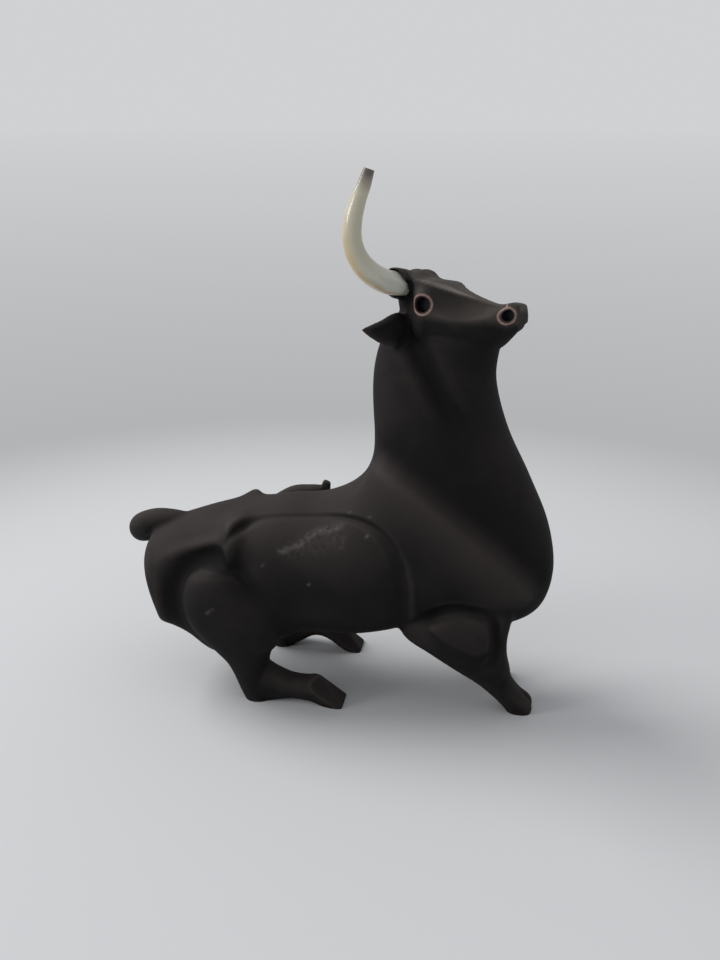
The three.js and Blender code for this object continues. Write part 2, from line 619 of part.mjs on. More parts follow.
// A cup pressed into the head, wider at its rim.
function cup(place, side, radius) {
  const [floor, rim] = [radius * CUP_FLOOR, radius * CUP_RIM];
  return bar(headPlace(place, side), outwards(side), -CUP_DEPTH, CUP_OVER, floor, rim);
}

// The half of space above a luting plane, as a big block.
function above({ point, up }, gap = 0) {
  const normal = new THREE.Vector3(...up).normalize();
  const block = new THREE.BoxGeometry(BLOCK, BLOCK, BLOCK);
  block.translate(0, BLOCK / 2 + gap, 0);
  block.applyQuaternion(new THREE.Quaternion().setFromUnitVectors(new THREE.Vector3(0, 1, 0), normal));
  block.translate(...point);
  return solid(block);
}

const FLOOR = { point: [0, 0, 0], up: [0, 0, 1] };

// A leg of the right side, or its mirror image for the left.
function mirrored(geometry, side, shift = 0) {
  const matrix = new THREE.Matrix4().makeScale(1, -side, 1).setPosition(-shift, 0, 0);
  return facingOut(geometry.applyMatrix4(matrix));
}

function foreleg(side, shift) {
  const form = betweenOutlines(FORELEG, { first: "back", second: "front", ...LEG });
  const relief = (x, y, z) => elbow(x, drawnHeight(y, z));
  const carved = carve(form, relief, FORELEG_FLANKS);
  return solid(mirrored(carved, side, shift)).intersect(above(FLOOR));
}

// Moves a leg outwards below its hip, most at the floor.
function splayed(geometry, by) {
  const p = geometry.attributes.position;
  for (let i = 0; i < p.count; i++) {
    p.setY(i, p.getY(i) - by * (1 - smoothstep(p.getZ(i), ...SPLAY_HEIGHTS)));
  }
  return geometry;
}

function hindLeg(side, splay) {
  const thigh = betweenOutlines(THIGH, { first: "back", second: "front", ...LEG });
  const foot = betweenOutlines(FOOT, { first: "top", second: "low", ...FOOT_SKIN });
  const [upper, lower] = [thigh, foot].map((form) => solid(mirrored(splayed(form, splay), side)));
  const whole = upper.add(lower);
  return whole.intersect(above(FLOOR));
}

function ear(side) {
  const centre = through(EAR.map((s) => s.at));
  const shape = through(EAR.map((s) => [s.high, s.thick, s.cup]));
  const turn = THREE.MathUtils.degToRad(EAR_TURN);
  const rings = [];
  for (let i = 0; i <= EAR_SKIN.rings; i++) {
    const u = i / EAR_SKIN.rings;
    const c = centre.getPoint(u);
    const size = shape.getPoint(u);
    const ring = [];
    for (let s = 0; s < EAR_SKIN.sides; s++) {
      const angle = (2 * Math.PI * s) / EAR_SKIN.sides;
      const [h, t] = [Math.sin(angle), Math.cos(angle)];
      const bend = size.z * (h * h - 0.5) + size.y * t;
      const [lateral, x] = [c.x + bend * Math.sin(turn), c.y + bend * Math.cos(turn)];
      ring.push(headPoint(lateral, x, c.z + size.x * h, side));
    }
    rings.push(ring);
  }
  return solid(skin(rings));
}

// A horn with its root and its peg, seated in the socket.
function horn(side) {
  const mouth = socketMouth(side);
  const axis = outwards(side, SOCKET_TILT);
  const height = crownAt(SOCKET_AT.x) - SOCKET_AT.drop;
  const line = HORN.map(([out, x, up]) => headPoint(SOCKET_AT.lateral + out, x, height + up, side).toArray());
  const sweep = solid(alongCurve(line, HORN_RADII, HORN_SKIN));
  const root = bar(mouth, axis, LUTE - MOUTH_DEPTH, 2, HORN_ROOT_RADIUS);
  const peg = bar(mouth, axis, LUTE - MOUTH_DEPTH - PEG_LENGTH, 0, PEG_RADIUS);
  return sweep.add(root).add(peg);
}

// The castings. The trunk and head are one form, cut at the luting planes and hollowed from inside.
const figure = trunk().add(headForm()).add(collar(-1)).add(collar(1));
const grown = trunk(LUTE).add(headForm(LUTE));
const hollow = trunkCavity();
const neckUp = above(NECK_SEAM);
const headUp = above(HEAD_SEAM);
const down = new THREE.Vector3(0, 0, -1);
const vent = bar(new THREE.Vector3(VENT_AT.x, VENT_AT.y, VENT_AT.reach), down, 0, VENT_AT.reach, VENT_RADIUS);

const shell = figure.subtract(hollow);
const torso = shell.subtract(neckUp).subtract(vent);
const neck = shell.intersect(above(NECK_SEAM, LUTE)).subtract(headUp);
const cutters = [-1, 1].flatMap((side) => [
  socket(side),
  cup(EYE_AT, side, EYE_RADIUS),
  cup(NOSTRIL_AT, side, NOSTRIL_RADIUS),
]);
const head = cutters.reduce((body, cutter) => body.subtract(cutter), shell.intersect(above(HEAD_SEAM, LUTE)));

const clay = { color: 0x2b2725, roughness: 0.85, metalness: 0 };
const porcelain = { color: 0xe6dfc6, roughness: 0.25, metalness: 0 };

const bull = new THREE.Group();

function place(name, body, finish) {
  const mesh = new THREE.Mesh(geometryOf(body), new THREE.MeshStandardMaterial(finish));
  mesh.name = name;
  bull.add(mesh);
}

const tailForm = solid(alongCurve(TAIL, TAIL_RADII, TAIL_SKIN));
const tuftForm = solid(alongCurve(TUFT, TUFT_RADII, TUFT_SKIN));

place("torso_casting", torso, clay);
place("neck_casting", neck, clay);
place("head_casting", head, clay);
place("foreleg_right", foreleg(-1, 0).subtract(grown), clay);
place("foreleg_left", foreleg(1, LEFT_FORELEG_SET_BACK).subtract(grown), clay);
place("hind_leg_right", hindLeg(-1, 0).subtract(grown), clay);
place("hind_leg_left", hindLeg(1, LEFT_HIND_LEG_SPLAY).subtract(grown), clay);
place("ear_right", ear(-1).subtract(grown), clay);
place("ear_left", ear(1).subtract(grown), clay);
place("tail", tailForm.subtract(grown).subtract(above(TUFT_SEAM)), clay);
place("tail_tuft", tuftForm.subtract(grown).intersect(above(TUFT_SEAM, LUTE)), clay);
place("horn_right", horn(-1), porcelain);

// The origin goes to the middle of the underside.
const box = new THREE.Box3().setFromObject(bull);
const centre = box.getCenter(new THREE.Vector3());
for (const mesh of bull.children) mesh.position.set(-centre.x, -centre.y, -box.min.z);

export default bull;
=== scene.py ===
"""Looks of the ceramic bull figurine: castings in matte dark slip, a glossy porcelain horn, a pale studio."""

import logging
import math
from dataclasses import dataclass, field
from enum import IntEnum

import bmesh
import bpy
import numpy as np
from mathutils import Matrix, Vector
from mathutils.bvhtree import BVHTree
from mathutils.kdtree import KDTree

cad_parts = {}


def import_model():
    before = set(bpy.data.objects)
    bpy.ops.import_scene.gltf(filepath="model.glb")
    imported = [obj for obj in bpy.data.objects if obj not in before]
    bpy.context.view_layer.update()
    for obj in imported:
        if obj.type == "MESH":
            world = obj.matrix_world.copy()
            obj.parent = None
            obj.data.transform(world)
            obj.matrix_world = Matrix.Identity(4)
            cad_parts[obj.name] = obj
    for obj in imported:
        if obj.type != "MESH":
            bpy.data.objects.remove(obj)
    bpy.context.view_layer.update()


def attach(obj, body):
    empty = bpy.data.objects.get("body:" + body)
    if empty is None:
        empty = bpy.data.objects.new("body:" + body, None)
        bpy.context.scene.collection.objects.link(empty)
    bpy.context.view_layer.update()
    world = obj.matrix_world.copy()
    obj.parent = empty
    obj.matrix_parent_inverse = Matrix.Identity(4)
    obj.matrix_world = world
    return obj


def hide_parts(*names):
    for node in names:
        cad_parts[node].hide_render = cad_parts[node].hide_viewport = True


LOG = logging.getLogger("bull")
Array = np.ndarray
Colour = tuple[float, float, float]
Point = tuple[float, float, float]
Rows = list[tuple[float, ...]]
SHIFT = (12.235, -0.442, 0.0)  # in millimetres, from where the clay is sculpted to the row's frame
METRES = 0.001  # a millimetre, in the row's metres
LEAST_RISE = 1e-9  # what a level line's rise counts as, in millimetres


class Finish(IntEnum):
    """The finishes of the clay castings, by their material slots."""

    SLIP = 0
    CLAY = 1
    LINED = 2


def in_scene(name: str, data: bpy.types.ID) -> bpy.types.Object:
    """Makes an object of the scene.

    Args:
        name: its name.
        data: its mesh, lamp or camera.

    Returns:
        The object.
    """
    made = bpy.data.objects.new(name, data)
    bpy.context.scene.collection.objects.link(made)
    return made


def aim(pointed: bpy.types.Object, place: Vector, target: Vector) -> None:
    """Stands a lamp or a camera somewhere.

    Args:
        pointed: the lamp or camera.
        place: where it stands.
        target: what it looks at.
    """
    pointed.location = place
    pointed.rotation_mode = "QUATERNION"
    pointed.rotation_quaternion = (target - place).to_track_quat("-Z", "Y")


def in_row(place: Array) -> Point:
    """Returns a place of the sculpted clay in the row's frame, in metres."""
    return tuple((place + SHIFT) * METRES)


def to_row(mesh: bpy.types.Mesh) -> None:
    """Moves a mesh of sculpted clay to the row's frame, in metres."""
    mesh.transform(Matrix.Scale(METRES, 4) @ Matrix.Translation(SHIFT))


def upright_to(axis: Array) -> Matrix:
    """Returns the turn that lays the upright axis along another one."""
    return Vector(axis).to_track_quat("Z", "Y").to_matrix().to_4x4()


def read(items: bpy.types.bpy_prop_collection, name: str, kind: type, width: int = 1) -> Array:
    """Reads one value of all of a mesh's vertices, edges, corners or faces.

    Args:
        items: what is read.
        name: the value's name.
        kind: the type of its numbers.
        width: how many numbers it has.

    Returns:
        The numbers, in rows where the value has several.
    """
    flat = np.empty(len(items) * width, kind)
    items.foreach_get(name, flat)
    return flat if width == 1 else flat.reshape(-1, width)


class NodeSheet:
    """A new material's node tree, with short calls that add and link its nodes."""

    def __init__(self, name: str) -> None:
        """Makes an empty material with an output.

        Args:
            name: name of the material.
        """
        self.material = bpy.data.materials.new(name)
        self.material.use_nodes = True
        self.tree = self.material.node_tree
        self.tree.nodes.clear()
        self.output = self.tree.nodes.new("ShaderNodeOutputMaterial")

    def add(self, kind: str, settings: dict | None = None, **inputs: object) -> bpy.types.Node:
        """Adds a node.

        Args:
            kind: the node's type, without its ShaderNode prefix.
            settings: its own properties.
            inputs: what goes into its sockets, by name with underscores, as a value or another node's socket.

        Returns:
            The node.
        """
        node = self.tree.nodes.new("ShaderNode" + kind)
        for key, value in (settings or {}).items():
            setattr(node, key, value)
        for key, value in inputs.items():
            name = key.replace("_", " ").strip()
            number = name.removeprefix("in")
            socket = node.inputs[int(number)] if number.isdigit() else node.inputs[name]
            self.feed(socket, value)
        return node

    def feed(self, socket: bpy.types.NodeSocket, value: object) -> None:
        """Links a socket to another node's socket, or sets its value.

        Args:
            socket: the socket.
            value: the other node's socket or the value, where three numbers are a colour.
        """
        if isinstance(value, bpy.types.NodeSocket):
            self.tree.links.new(value, socket)
        elif isinstance(value, tuple) and len(value) == 3 and socket.type == "RGBA":
            socket.default_value = (*value, 1.0)
        else:
            socket.default_value = value

    def place(self) -> bpy.types.NodeSocket:
        """Returns the Object coordinates, which are the row frame's metres on every piece."""
        return self.add("TexCoord").outputs["Object"]

    def away_from(self, centre: Point) -> bpy.types.NodeSocket:
        """Returns the distance from a place."""
        settings = {"operation": "DISTANCE"}
        return self.add("VectorMath", settings, in0=self.place(), in1=centre).outputs["Value"]

    def attribute(self, name: str) -> bpy.types.NodeSocket:
        """Returns a number that the piece's vertices carry."""
        return self.add("Attribute", {"attribute_name": name}).outputs["Fac"]

    def facing(self) -> bpy.types.bpy_prop_collection:
        """Returns the way that the surface faces, as its X, Y and Z."""
        return self.add("SeparateXYZ", Vector=self.add("NewGeometry").outputs["Normal"]).outputs

    def noise(self, scale: float, detail: float = 3.0, rough: float = 0.55) -> bpy.types.NodeSocket:
        """Returns a noise from 0 to 1 over the piece."""
        made = self.add("TexNoise", Vector=self.place(), Scale=scale, Detail=detail, Roughness=rough)
        return made.outputs["Fac"]

    def spread(
        self, value: object, low: float, high: float, start: float = 0.0, end: float = 1.0,
    ) -> bpy.types.NodeSocket:
        """Spreads a value over another range, and holds it at the range's ends.

        Args:
            value: what is spread.
            low: the value that becomes the range's start.
            high: the value that becomes its end.
            start: the range's start.
            end: its end.

        Returns:
            The new value.
        """
        limits = {"From_Min": low, "From_Max": high, "To_Min": start, "To_Max": end}
        return self.add("MapRange", Value=value, **limits).outputs[0]

    def ramp(self, factor: object, *stops: tuple[float, Colour]) -> bpy.types.NodeSocket:
        """Returns a colour ramp's colour.

        Args:
            factor: what drives it.
            stops: places from 0 to 1 with their colours.

        Returns:
            The colour.
        """
        node = self.add("ValToRGB", Fac=factor)
        elements = node.color_ramp.elements
        while len(elements) < len(stops):
            elements.new(0.5)
        for element, (place, colour) in zip(elements, stops):
            element.position = place
            element.color = (*colour, 1.0)
        return node.outputs["Color"]

    def mix(self, factor: object, one: object, two: object) -> bpy.types.NodeSocket:
        """Mixes two colours.

        Args:
            factor: how much of the second one there is.
            one: the first colour.
            two: the second one.

        Returns:
            The mix.
        """
        node = self.add("Mix", {"data_type": "RGBA"})
        colours = [s for s in node.inputs if s.type == "RGBA"]
        self.feed(node.inputs[0], factor)
        self.feed(colours[0], one)
        self.feed(colours[1], two)
        return next(s for s in node.outputs if s.type == "RGBA")

    def math(
        self, operation: str, one: object, two: object = 0.0, clamp: bool = False,
    ) -> bpy.types.NodeSocket:
        """Returns the result of a Math node."""
        node = self.add("Math", {"operation": operation, "use_clamp": clamp}, in0=one, in1=two)
        return node.outputs[0]

    def close(self, shader: bpy.types.Node) -> bpy.types.Material:
        """Links the shader to the output and returns the material."""
        self.tree.links.new(shader.outputs[0], self.output.inputs["Surface"])
        return self.material

    def coat(
        self, colour: object, rough: object, grain: object, strength: float, depth: float, **more: float,
    ) -> bpy.types.Material:
        """Closes the sheet with one coat of slip or glaze.

        Args:
            colour: its colour.
            rough: its roughness.
            grain: the heights of its grain.
            strength: how much the grain shows.
            depth: how deep the grain is, in metres.
            more: the shader's other values, by name with underscores.

        Returns:
            The material.
        """
        bump = self.add("Bump", Height=grain, Strength=strength, Distance=depth).outputs[0]
        return self.close(self.add("BsdfPrincipled", Base_Color=colour, Roughness=rough, Normal=bump, **more))


@dataclass(frozen=True)
class DarkSlip:
    """Matte near-black slip on cast clay: cloudy, worn paler on its edges, with scuffs and scored rings, and
    with painted light on its tops and raised relief and painted shade in its hollows.
    """

    dark: Colour = (0.0072, 0.0070, 0.0071)
    warm: Colour = (0.0135, 0.0118, 0.0114)
    # Dusty slip, and painted light: the tops and the raised relief are painted this paler colour as if lit.
    dust_and_painted_light: Colour = (0.054, 0.044, 0.042)
    # Painted shade, laid in the relief's hollows.
    shade: Colour = (0.0032, 0.0031, 0.0033)
    # Slip worn paler on the edges, and the flecks' colour.
    paler_slip: Colour = (0.085, 0.072, 0.064)
    # Paler slip for the head's painted highlight on the brow's edge and painted light on its facet, crown and
    # cheeks, partly worn slip.
    pale: Colour = (0.192, 0.173, 0.152)
    chalk: Colour = (0.235, 0.215, 0.195)
    clay: Colour = (0.300, 0.190, 0.165)
    rings: tuple[tuple[Point, float, float], ...] = ()
    ring_core: float = 0.45

    def scored(self, sheet: NodeSheet) -> bpy.types.NodeSocket:
        """Returns where the rings round the eyes and nostrils are scored through the slip, from 0 to 1."""
        total: object = 0.0
        for centre, radius, half in self.rings:
            off = sheet.math("ABSOLUTE", sheet.math("SUBTRACT", sheet.away_from(centre), radius))
            total = sheet.math("ADD", sheet.spread(off, half, half * self.ring_core), total, clamp=True)
        kept = sheet.spread(sheet.noise(900.0, detail=2.0), 0.25, 0.55, start=0.55)
        return sheet.math("MULTIPLY", total, kept)

    def layers(self, sheet: NodeSheet, cloud: object, fleck: object) -> list[tuple[object, Colour]]:
        """Lists what lies over the slip, painted light and shade among it, from the lowest layer to the
        highest.

        Args:
            sheet: the material's nodes.
            cloud: the slip's broad clouds, from 0 to 1.
            fleck: its finest grain, from 0 to 1.

        Returns:
            How much each layer covers, from 0 to 1, and its colour.
        """
        # Up-facing surfaces are painted paler: dusty tops, and painted light on the tops.
        upward = sheet.spread(sheet.facing()["Z"], -0.1, 1.0, end=0.62)
        dusty_and_lit_tops = sheet.math("MULTIPLY", upward, sheet.spread(cloud, 0.0, 1.0, start=0.5, end=1.3))
        tone = sheet.attribute("tone")
        uneven = sheet.math("MULTIPLY", sheet.noise(260.0, detail=4.0, rough=0.7), 0.16)
        edge = sheet.math("ADD", sheet.attribute("wear"), uneven)
        patchy = sheet.spread(sheet.noise(170.0), 0.3, 0.6, start=0.7)
        streak = sheet.spread(sheet.noise(420.0, detail=5.0, rough=0.75), 0.36, 0.74, end=0.75)
        return [
            (dusty_and_lit_tops, self.dust_and_painted_light),
            # Painted light on the raised relief, and painted shade in its hollows.
            (sheet.spread(tone, 0.3, 3.6, end=0.45), self.dust_and_painted_light),
            (sheet.spread(tone, -0.3, -3.6, end=0.8), self.shade),
            (sheet.spread(edge, 0.16, 0.6, end=0.3), self.paler_slip),
            # The head's painted highlight and painted light, partly worn slip.
            (sheet.math("MULTIPLY", sheet.attribute("pale"), patchy), self.pale),
            (sheet.spread(fleck, 0.66, 0.78, end=0.35), self.paler_slip),
            (sheet.math("MULTIPLY", sheet.attribute("scuff"), streak), self.chalk),
            (self.scored(sheet), self.clay),
        ]

    def material(self) -> bpy.types.Material:
        """Returns the finish as a new material."""
        sheet = NodeSheet("dark_slip")
        cloud = sheet.noise(42.0, detail=5.0, rough=0.62)
        fleck = sheet.noise(1300.0, detail=3.0, rough=0.7)
        colour = sheet.ramp(cloud, (0.34, self.dark), (0.68, self.warm))
        for share, layer in self.layers(sheet, cloud, fleck):
            colour = sheet.mix(share, colour, layer)
        rough = sheet.spread(cloud, 0.0, 1.0, start=0.62, end=0.8)
        grain = sheet.math("ADD", sheet.math("MULTIPLY", fleck, 0.5), sheet.noise(240.0, detail=2.0))
        return sheet.coat(colour, rough, grain, strength=0.22, depth=0.00025, Specular_IOR_Level=0.08)


@dataclass(frozen=True)
class RawClay:
    """Bare fired clay inside the sockets and on the hidden faces of the castings."""

    pale: Colour = (0.36, 0.25, 0.215)
    deep: Colour = (0.25, 0.165, 0.14)

    def material(self) -> bpy.types.Material:
        """Returns the finish as a new material."""
        sheet = NodeSheet("raw_clay")
        colour = sheet.ramp(sheet.noise(180.0, detail=5.0), (0.35, self.deep), (0.65, self.pale))
        return sheet.coat(colour, 0.85, sheet.noise(900.0), strength=0.3, depth=0.0003)


@dataclass(frozen=True)
class CupSlip:
    """The smoother slip that lines the eyes' and nostrils' cups, darker towards a cup's bottom."""

    rim: Colour = (0.044, 0.020, 0.0165)
    cup_bottom: Colour = (0.0045, 0.0072, 0.0080)
    rim_at: tuple[float, float] = (0.0032, 0.0044)
    centres: tuple[Point, ...] = ()

    def material(self) -> bpy.types.Material:
        """Returns the finish as a new material, reddish at a cup's rim and blue-black in its middle."""
        sheet = NodeSheet("cup_slip")
        near: object = 1.0
        for centre in self.centres:
            near = sheet.math("MINIMUM", sheet.away_from(centre), near)
        colour = sheet.ramp(sheet.spread(near, *self.rim_at), (0.0, self.cup_bottom), (1.0, self.rim))
        grain = sheet.noise(420.0)
        return sheet.coat(colour, 0.42, grain, strength=0.15, depth=0.0002, Specular_IOR_Level=0.08)


@dataclass(frozen=True)
class HornGlaze:
    """Cream porcelain under a clear glaze, ochre where it faces down and backwards, with a brown-grey tip."""

    cream: Colour = (0.515, 0.48, 0.36)
    cool: Colour = (0.60, 0.61, 0.54)
    ochre: Colour = (0.50, 0.36, 0.175)
    tip: Colour = (0.105, 0.083, 0.068)
    cream_at: tuple[float, float] = (0.198, 0.215)
    tip_at: tuple[float, float] = (0.2375, 0.2462)
    tip_ragged: float = 0.006

    def material(self) -> bpy.types.Material:
        """Returns the finish as a new material."""
        sheet = NodeSheet("horn_glaze")
        height = sheet.add("SeparateXYZ", Vector=sheet.place()).outputs["Z"]
        cloud = sheet.noise(90.0, detail=3.0)
        facing = sheet.facing()
        low = sheet.math("SUBTRACT", sheet.math("MULTIPLY", facing["X"], -0.55), facing["Z"])
        body = sheet.mix(sheet.spread(height, *self.cream_at), self.cool, self.cream)
        body = sheet.mix(sheet.spread(sheet.math("ADD", low, cloud), 0.75, 1.55), body, self.ochre)
        ragged = sheet.math("MULTIPLY", sheet.math("SUBTRACT", cloud, 0.5), self.tip_ragged)
        colour = sheet.mix(sheet.spread(sheet.math("ADD", height, ragged), *self.tip_at), body, self.tip)
        return sheet.coat(
            colour, 0.34, sheet.noise(350.0), strength=0.05, depth=0.0002, Coat_Weight=0.55,
            Coat_Roughness=0.12, Subsurface_Weight=0.12, Subsurface_Scale=0.002,
        )


@dataclass
class Studio:
    """The pale floor, the lamps, the world and the camera at the photograph's angle."""

    target: Point = (0.012235, -0.000442, 0.1055)
    distance: float = 0.512
    azimuth: float = 9.0
    elevation: float = 19.5
    lens: float = 41.25
    floor_radius: float = 9.0
    floor_sides: int = 96
    lit_floor: tuple[float, float] = (0.2, 0.5)
    floor_near: Colour = (0.655, 0.66, 0.668)
    # Painted light and shade of a paper sweep: beyond lit_floor the floor glows with these colours by
    # distance, darker in a band near 0.46 m and brighter far off.
    painted_backdrop: tuple[tuple[float, Colour], ...] = (
        (0.30, (0.505, 0.51, 0.515)),
        (0.46, (0.445, 0.45, 0.458)),
        (1.05, (0.505, 0.51, 0.52)),
        (2.55, (0.572, 0.578, 0.588)),
        (9.0, (0.635, 0.64, 0.648)),
    )
    least_share: float = 0.001
    lamp_rows: tuple[tuple[str, Point, float, float], ...] = (
        # name, place, size and power
        ("window", (-2.3, 0.75, 2.3), 2.3, 72.0),
        ("side", (-2.2, -1.0, 0.55), 1.0, 20.0),
    )
    sky: Colour = (0.62, 0.63, 0.65)
    sky_strength: float = 0.78

    def camera(self) -> None:
        """Makes the scene's camera."""
        data = bpy.data.cameras.new("camera")
        data.lens = self.lens
        data.clip_start = 0.01
        camera = in_scene("camera", data)
        turn, tilt = math.radians(self.azimuth), math.radians(self.elevation)
        away = Vector((math.sin(turn) * math.cos(tilt), -math.cos(turn) * math.cos(tilt), math.sin(tilt)))
        aim(camera, Vector(self.target) + away * self.distance, Vector(self.target))
        bpy.context.scene.camera = camera

    def floor(self) -> None:
        """Makes the floor, which keeps the shadow near the object; further off it glows with painted colours
        for the camera and in reflections.
        """
        shape = bmesh.new()
        bmesh.ops.create_circle(shape, cap_ends=True, segments=self.floor_sides, radius=self.floor_radius)
        mesh = bpy.data.meshes.new("floor")
        shape.to_mesh(mesh)
        shape.free()
        floor = in_scene("floor", mesh)
        sheet = NodeSheet("pale_floor")
        away = sheet.add("VectorMath", {"operation": "LENGTH"}, in0=sheet.place()).outputs["Value"]
        share = sheet.math("ADD", sheet.math("DIVIDE", away, self.floor_radius), self.least_share)
        along = sheet.spread(sheet.math("LOGARITHM", share, 10.0), -2.0, 0.0)
        stops = [
            (1 + math.log10(reach / self.floor_radius + self.least_share) / 2, colour)
            for reach, colour in self.painted_backdrop
        ]
        # The far floor glows with painted colours instead of being lit.
        glow = sheet.add("Emission", Color=sheet.ramp(along, *stops))
        paper = sheet.add("BsdfDiffuse", Color=self.floor_near)
        near, beyond = self.lit_floor
        soft = {"interpolation_type": "SMOOTHSTEP"}
        far = sheet.add("MapRange", soft, Value=away, From_Min=near, From_Max=beyond)
        seen = sheet.math("MULTIPLY", far.outputs[0], self.shown(sheet))
        mixed = sheet.add("MixShader", in0=seen, in1=paper.outputs[0], in2=glow.outputs[0])
        mesh.materials.append(sheet.close(mixed))

    @staticmethod
    def shown(sheet: NodeSheet) -> bpy.types.NodeSocket:
        """Returns 1 for what the camera sees, straight or in gloss, and 0 for the light on the object."""
        path = sheet.add("LightPath").outputs
        seen = sheet.math("ADD", path["Is Camera Ray"], path["Is Glossy Ray"], clamp=True)
        return sheet.math("ADD", seen, path["Is Transmission Ray"], clamp=True)

    def lamps(self) -> None:
        """Makes a broad lamp above and behind on the left, and one that grazes the flank from the left."""
        for name, place, size, power in self.lamp_rows:
            data = bpy.data.lights.new(name, "AREA")
            data.shape = "DISK"
            data.size = size
            data.energy = power
            aim(in_scene(name, data), Vector(place), Vector(self.target))

    def world(self) -> None:
        """Lights the scene from all round, and shows the floor's far colour behind it."""
        world = bpy.data.worlds.new("world")
        world.use_nodes = True
        tree = world.node_tree
        light = tree.nodes["Background"]
        light.inputs["Color"].default_value = (*self.sky, 1.0)
        light.inputs["Strength"].default_value = self.sky_strength
        wall = tree.nodes.new("ShaderNodeBackground")
        wall.inputs["Color"].default_value = (*self.painted_backdrop[-1][1], 1.0)
        path = tree.nodes.new("ShaderNodeLightPath")
        mixed = tree.nodes.new("ShaderNodeMixShader")
        tree.links.new(path.outputs["Is Camera Ray"], mixed.inputs[0])
        tree.links.new(light.outputs[0], mixed.inputs[1])
        tree.links.new(wall.outputs[0], mixed.inputs[2])
        tree.links.new(mixed.outputs[0], tree.nodes["World Output"].inputs["Surface"])
        bpy.context.scene.world = world

    def build(self) -> None:
        """Makes everything that isn't the object."""
        self.camera()
        self.floor()
        self.lamps()
        self.world()
        bpy.context.scene.view_settings.view_transform = "Standard"


def smoothstep(value: Array, low: float, high: float) -> Array:
    """Returns a soft step from 0 at low to 1 at high."""
    share = np.clip((value - low) / (high - low), 0.0, 1.0)
    return share * share * (3.0 - 2.0 * share)


def bell(value: Array, width: float) -> Array:
    """Returns a bell that is 1 at 0 and falls off over a width."""
    return np.exp(-((value / width) ** 2))


class Spline:
    """A smooth curve through rows of numbers, read by its share from 0 to 1."""

    def __init__(self, rows: Rows) -> None:
        """Keeps the rows, with one more beyond each end."""
        held = np.array(rows, float)
        self.last = len(held) - 1
        self.rows = np.vstack([2 * held[0] - held[1], held, 2 * held[-1] - held[-2]])

    def at(self, share: Array) -> Array:
        """Reads the curve.

        Args:
            share: places along it, from 0 to 1.

        Returns:
            The row of numbers at each of them.
        """
        place = np.clip(np.atleast_1d(share), 0.0, 1.0) * self.last
        number = np.minimum(place.astype(int), self.last - 1)
        t = (place - number)[:, None]
        a, b, c, d = (self.rows[number + k] for k in range(4))
        m, n = (c - a) / 2, (d - b) / 2
        return b + m * t + (3 * (c - b) - 2 * m - n) * t**2 + (2 * (b - c) + m + n) * t**3


def beside(x: Array, h: Array, points: Rows) -> tuple[Array, Array, Array]:
    """Measures places of the side view against a line.

    Args:
        x: how far forward each place is.
        h: how high it is drawn.
        points: the line's points.

    Returns:
        The distance from the line, 1 on its upper right side and -1 on the other, and the share along it.
    """
    best = np.full(x.shape, np.inf)
    sign = np.ones(x.shape)
    share = np.zeros(x.shape)
    for number, ((ax, ah), (bx, bh)) in enumerate(zip(points, points[1:])):
        dx, dh = bx - ax, bh - ah
        t = np.clip(((x - ax) * dx + (h - ah) * dh) / (dx * dx + dh * dh), 0.0, 1.0)
        distance = np.hypot(x - ax - t * dx, h - ah - t * dh)
        near = distance < best
        best = np.where(near, distance, best)
        sign = np.where(near, np.where((x - ax) * dh - (h - ah) * dx < 0, 1.0, -1.0), sign)
        share = np.where(near, (number + t) / (len(points) - 1), share)
    return best, sign, share


def rounded(outline: Rows, steps: int = 4) -> Rows:
    """Rounds the corners of a closed outline.

    Args:
        outline: its points.
        steps: how many points take the place of each.

    Returns:
        The new points, the first one repeated at the end.
    """
    wrapped = [*outline[-2:], *outline, *outline[:2]]
    share = np.linspace(2, len(outline) + 2, steps * len(outline) + 1) / (len(wrapped) - 1)
    return [tuple(row) for row in Spline(wrapped).at(share)]


def depth_inside(x: Array, h: Array, outline: Rows) -> Array:
    """Measures how far places of the side view lie inside a closed outline.

    Args:
        x: how far forward each place is.
        h: how high it is drawn.
        outline: the outline's points.

    Returns:
        The distance from the outline, negative outside it.
    """
    closed = rounded(outline)
    inside = np.zeros(x.shape, bool)
    for (ax, ah), (bx, bh) in zip(closed, closed[1:]):
        rise = bh - ah if abs(bh - ah) > LEAST_RISE else LEAST_RISE
        inside ^= ((ah > h) != (bh > h)) & (x < ax + (bx - ax) * (h - ah) / rise)
    distance = beside(x, h, closed)[0]
    return np.where(inside, distance, -distance)


@dataclass(frozen=True)
class Stroke:
    """A valley or a crest along a curve of the side view.

    Its rows hold x, the height drawn, and how high and how wide it is there.
    """

    rows: Rows
    steps: int = 4
    least_width: float = 0.3

    def at(self, x: Array, h: Array) -> Array:
        """Works out the stroke's height.

        Args:
            x: how far forward each place is.
            h: how high it is drawn.

        Returns:
            The height at each place, negative in a valley.
        """
        spline = Spline(self.rows)
        line = spline.at(np.linspace(0.0, 1.0, self.steps * (len(self.rows) - 1) + 1))
        distance, _, share = beside(x, h, [tuple(row) for row in line[:, :2]])
        total = np.zeros(x.shape)
        close = np.flatnonzero(distance < 3 * line[:, 3].max())
        _, _, height, width = spline.at(share[close]).T
        total[close] = height * bell(distance[close], np.maximum(width, self.least_width))
        return total


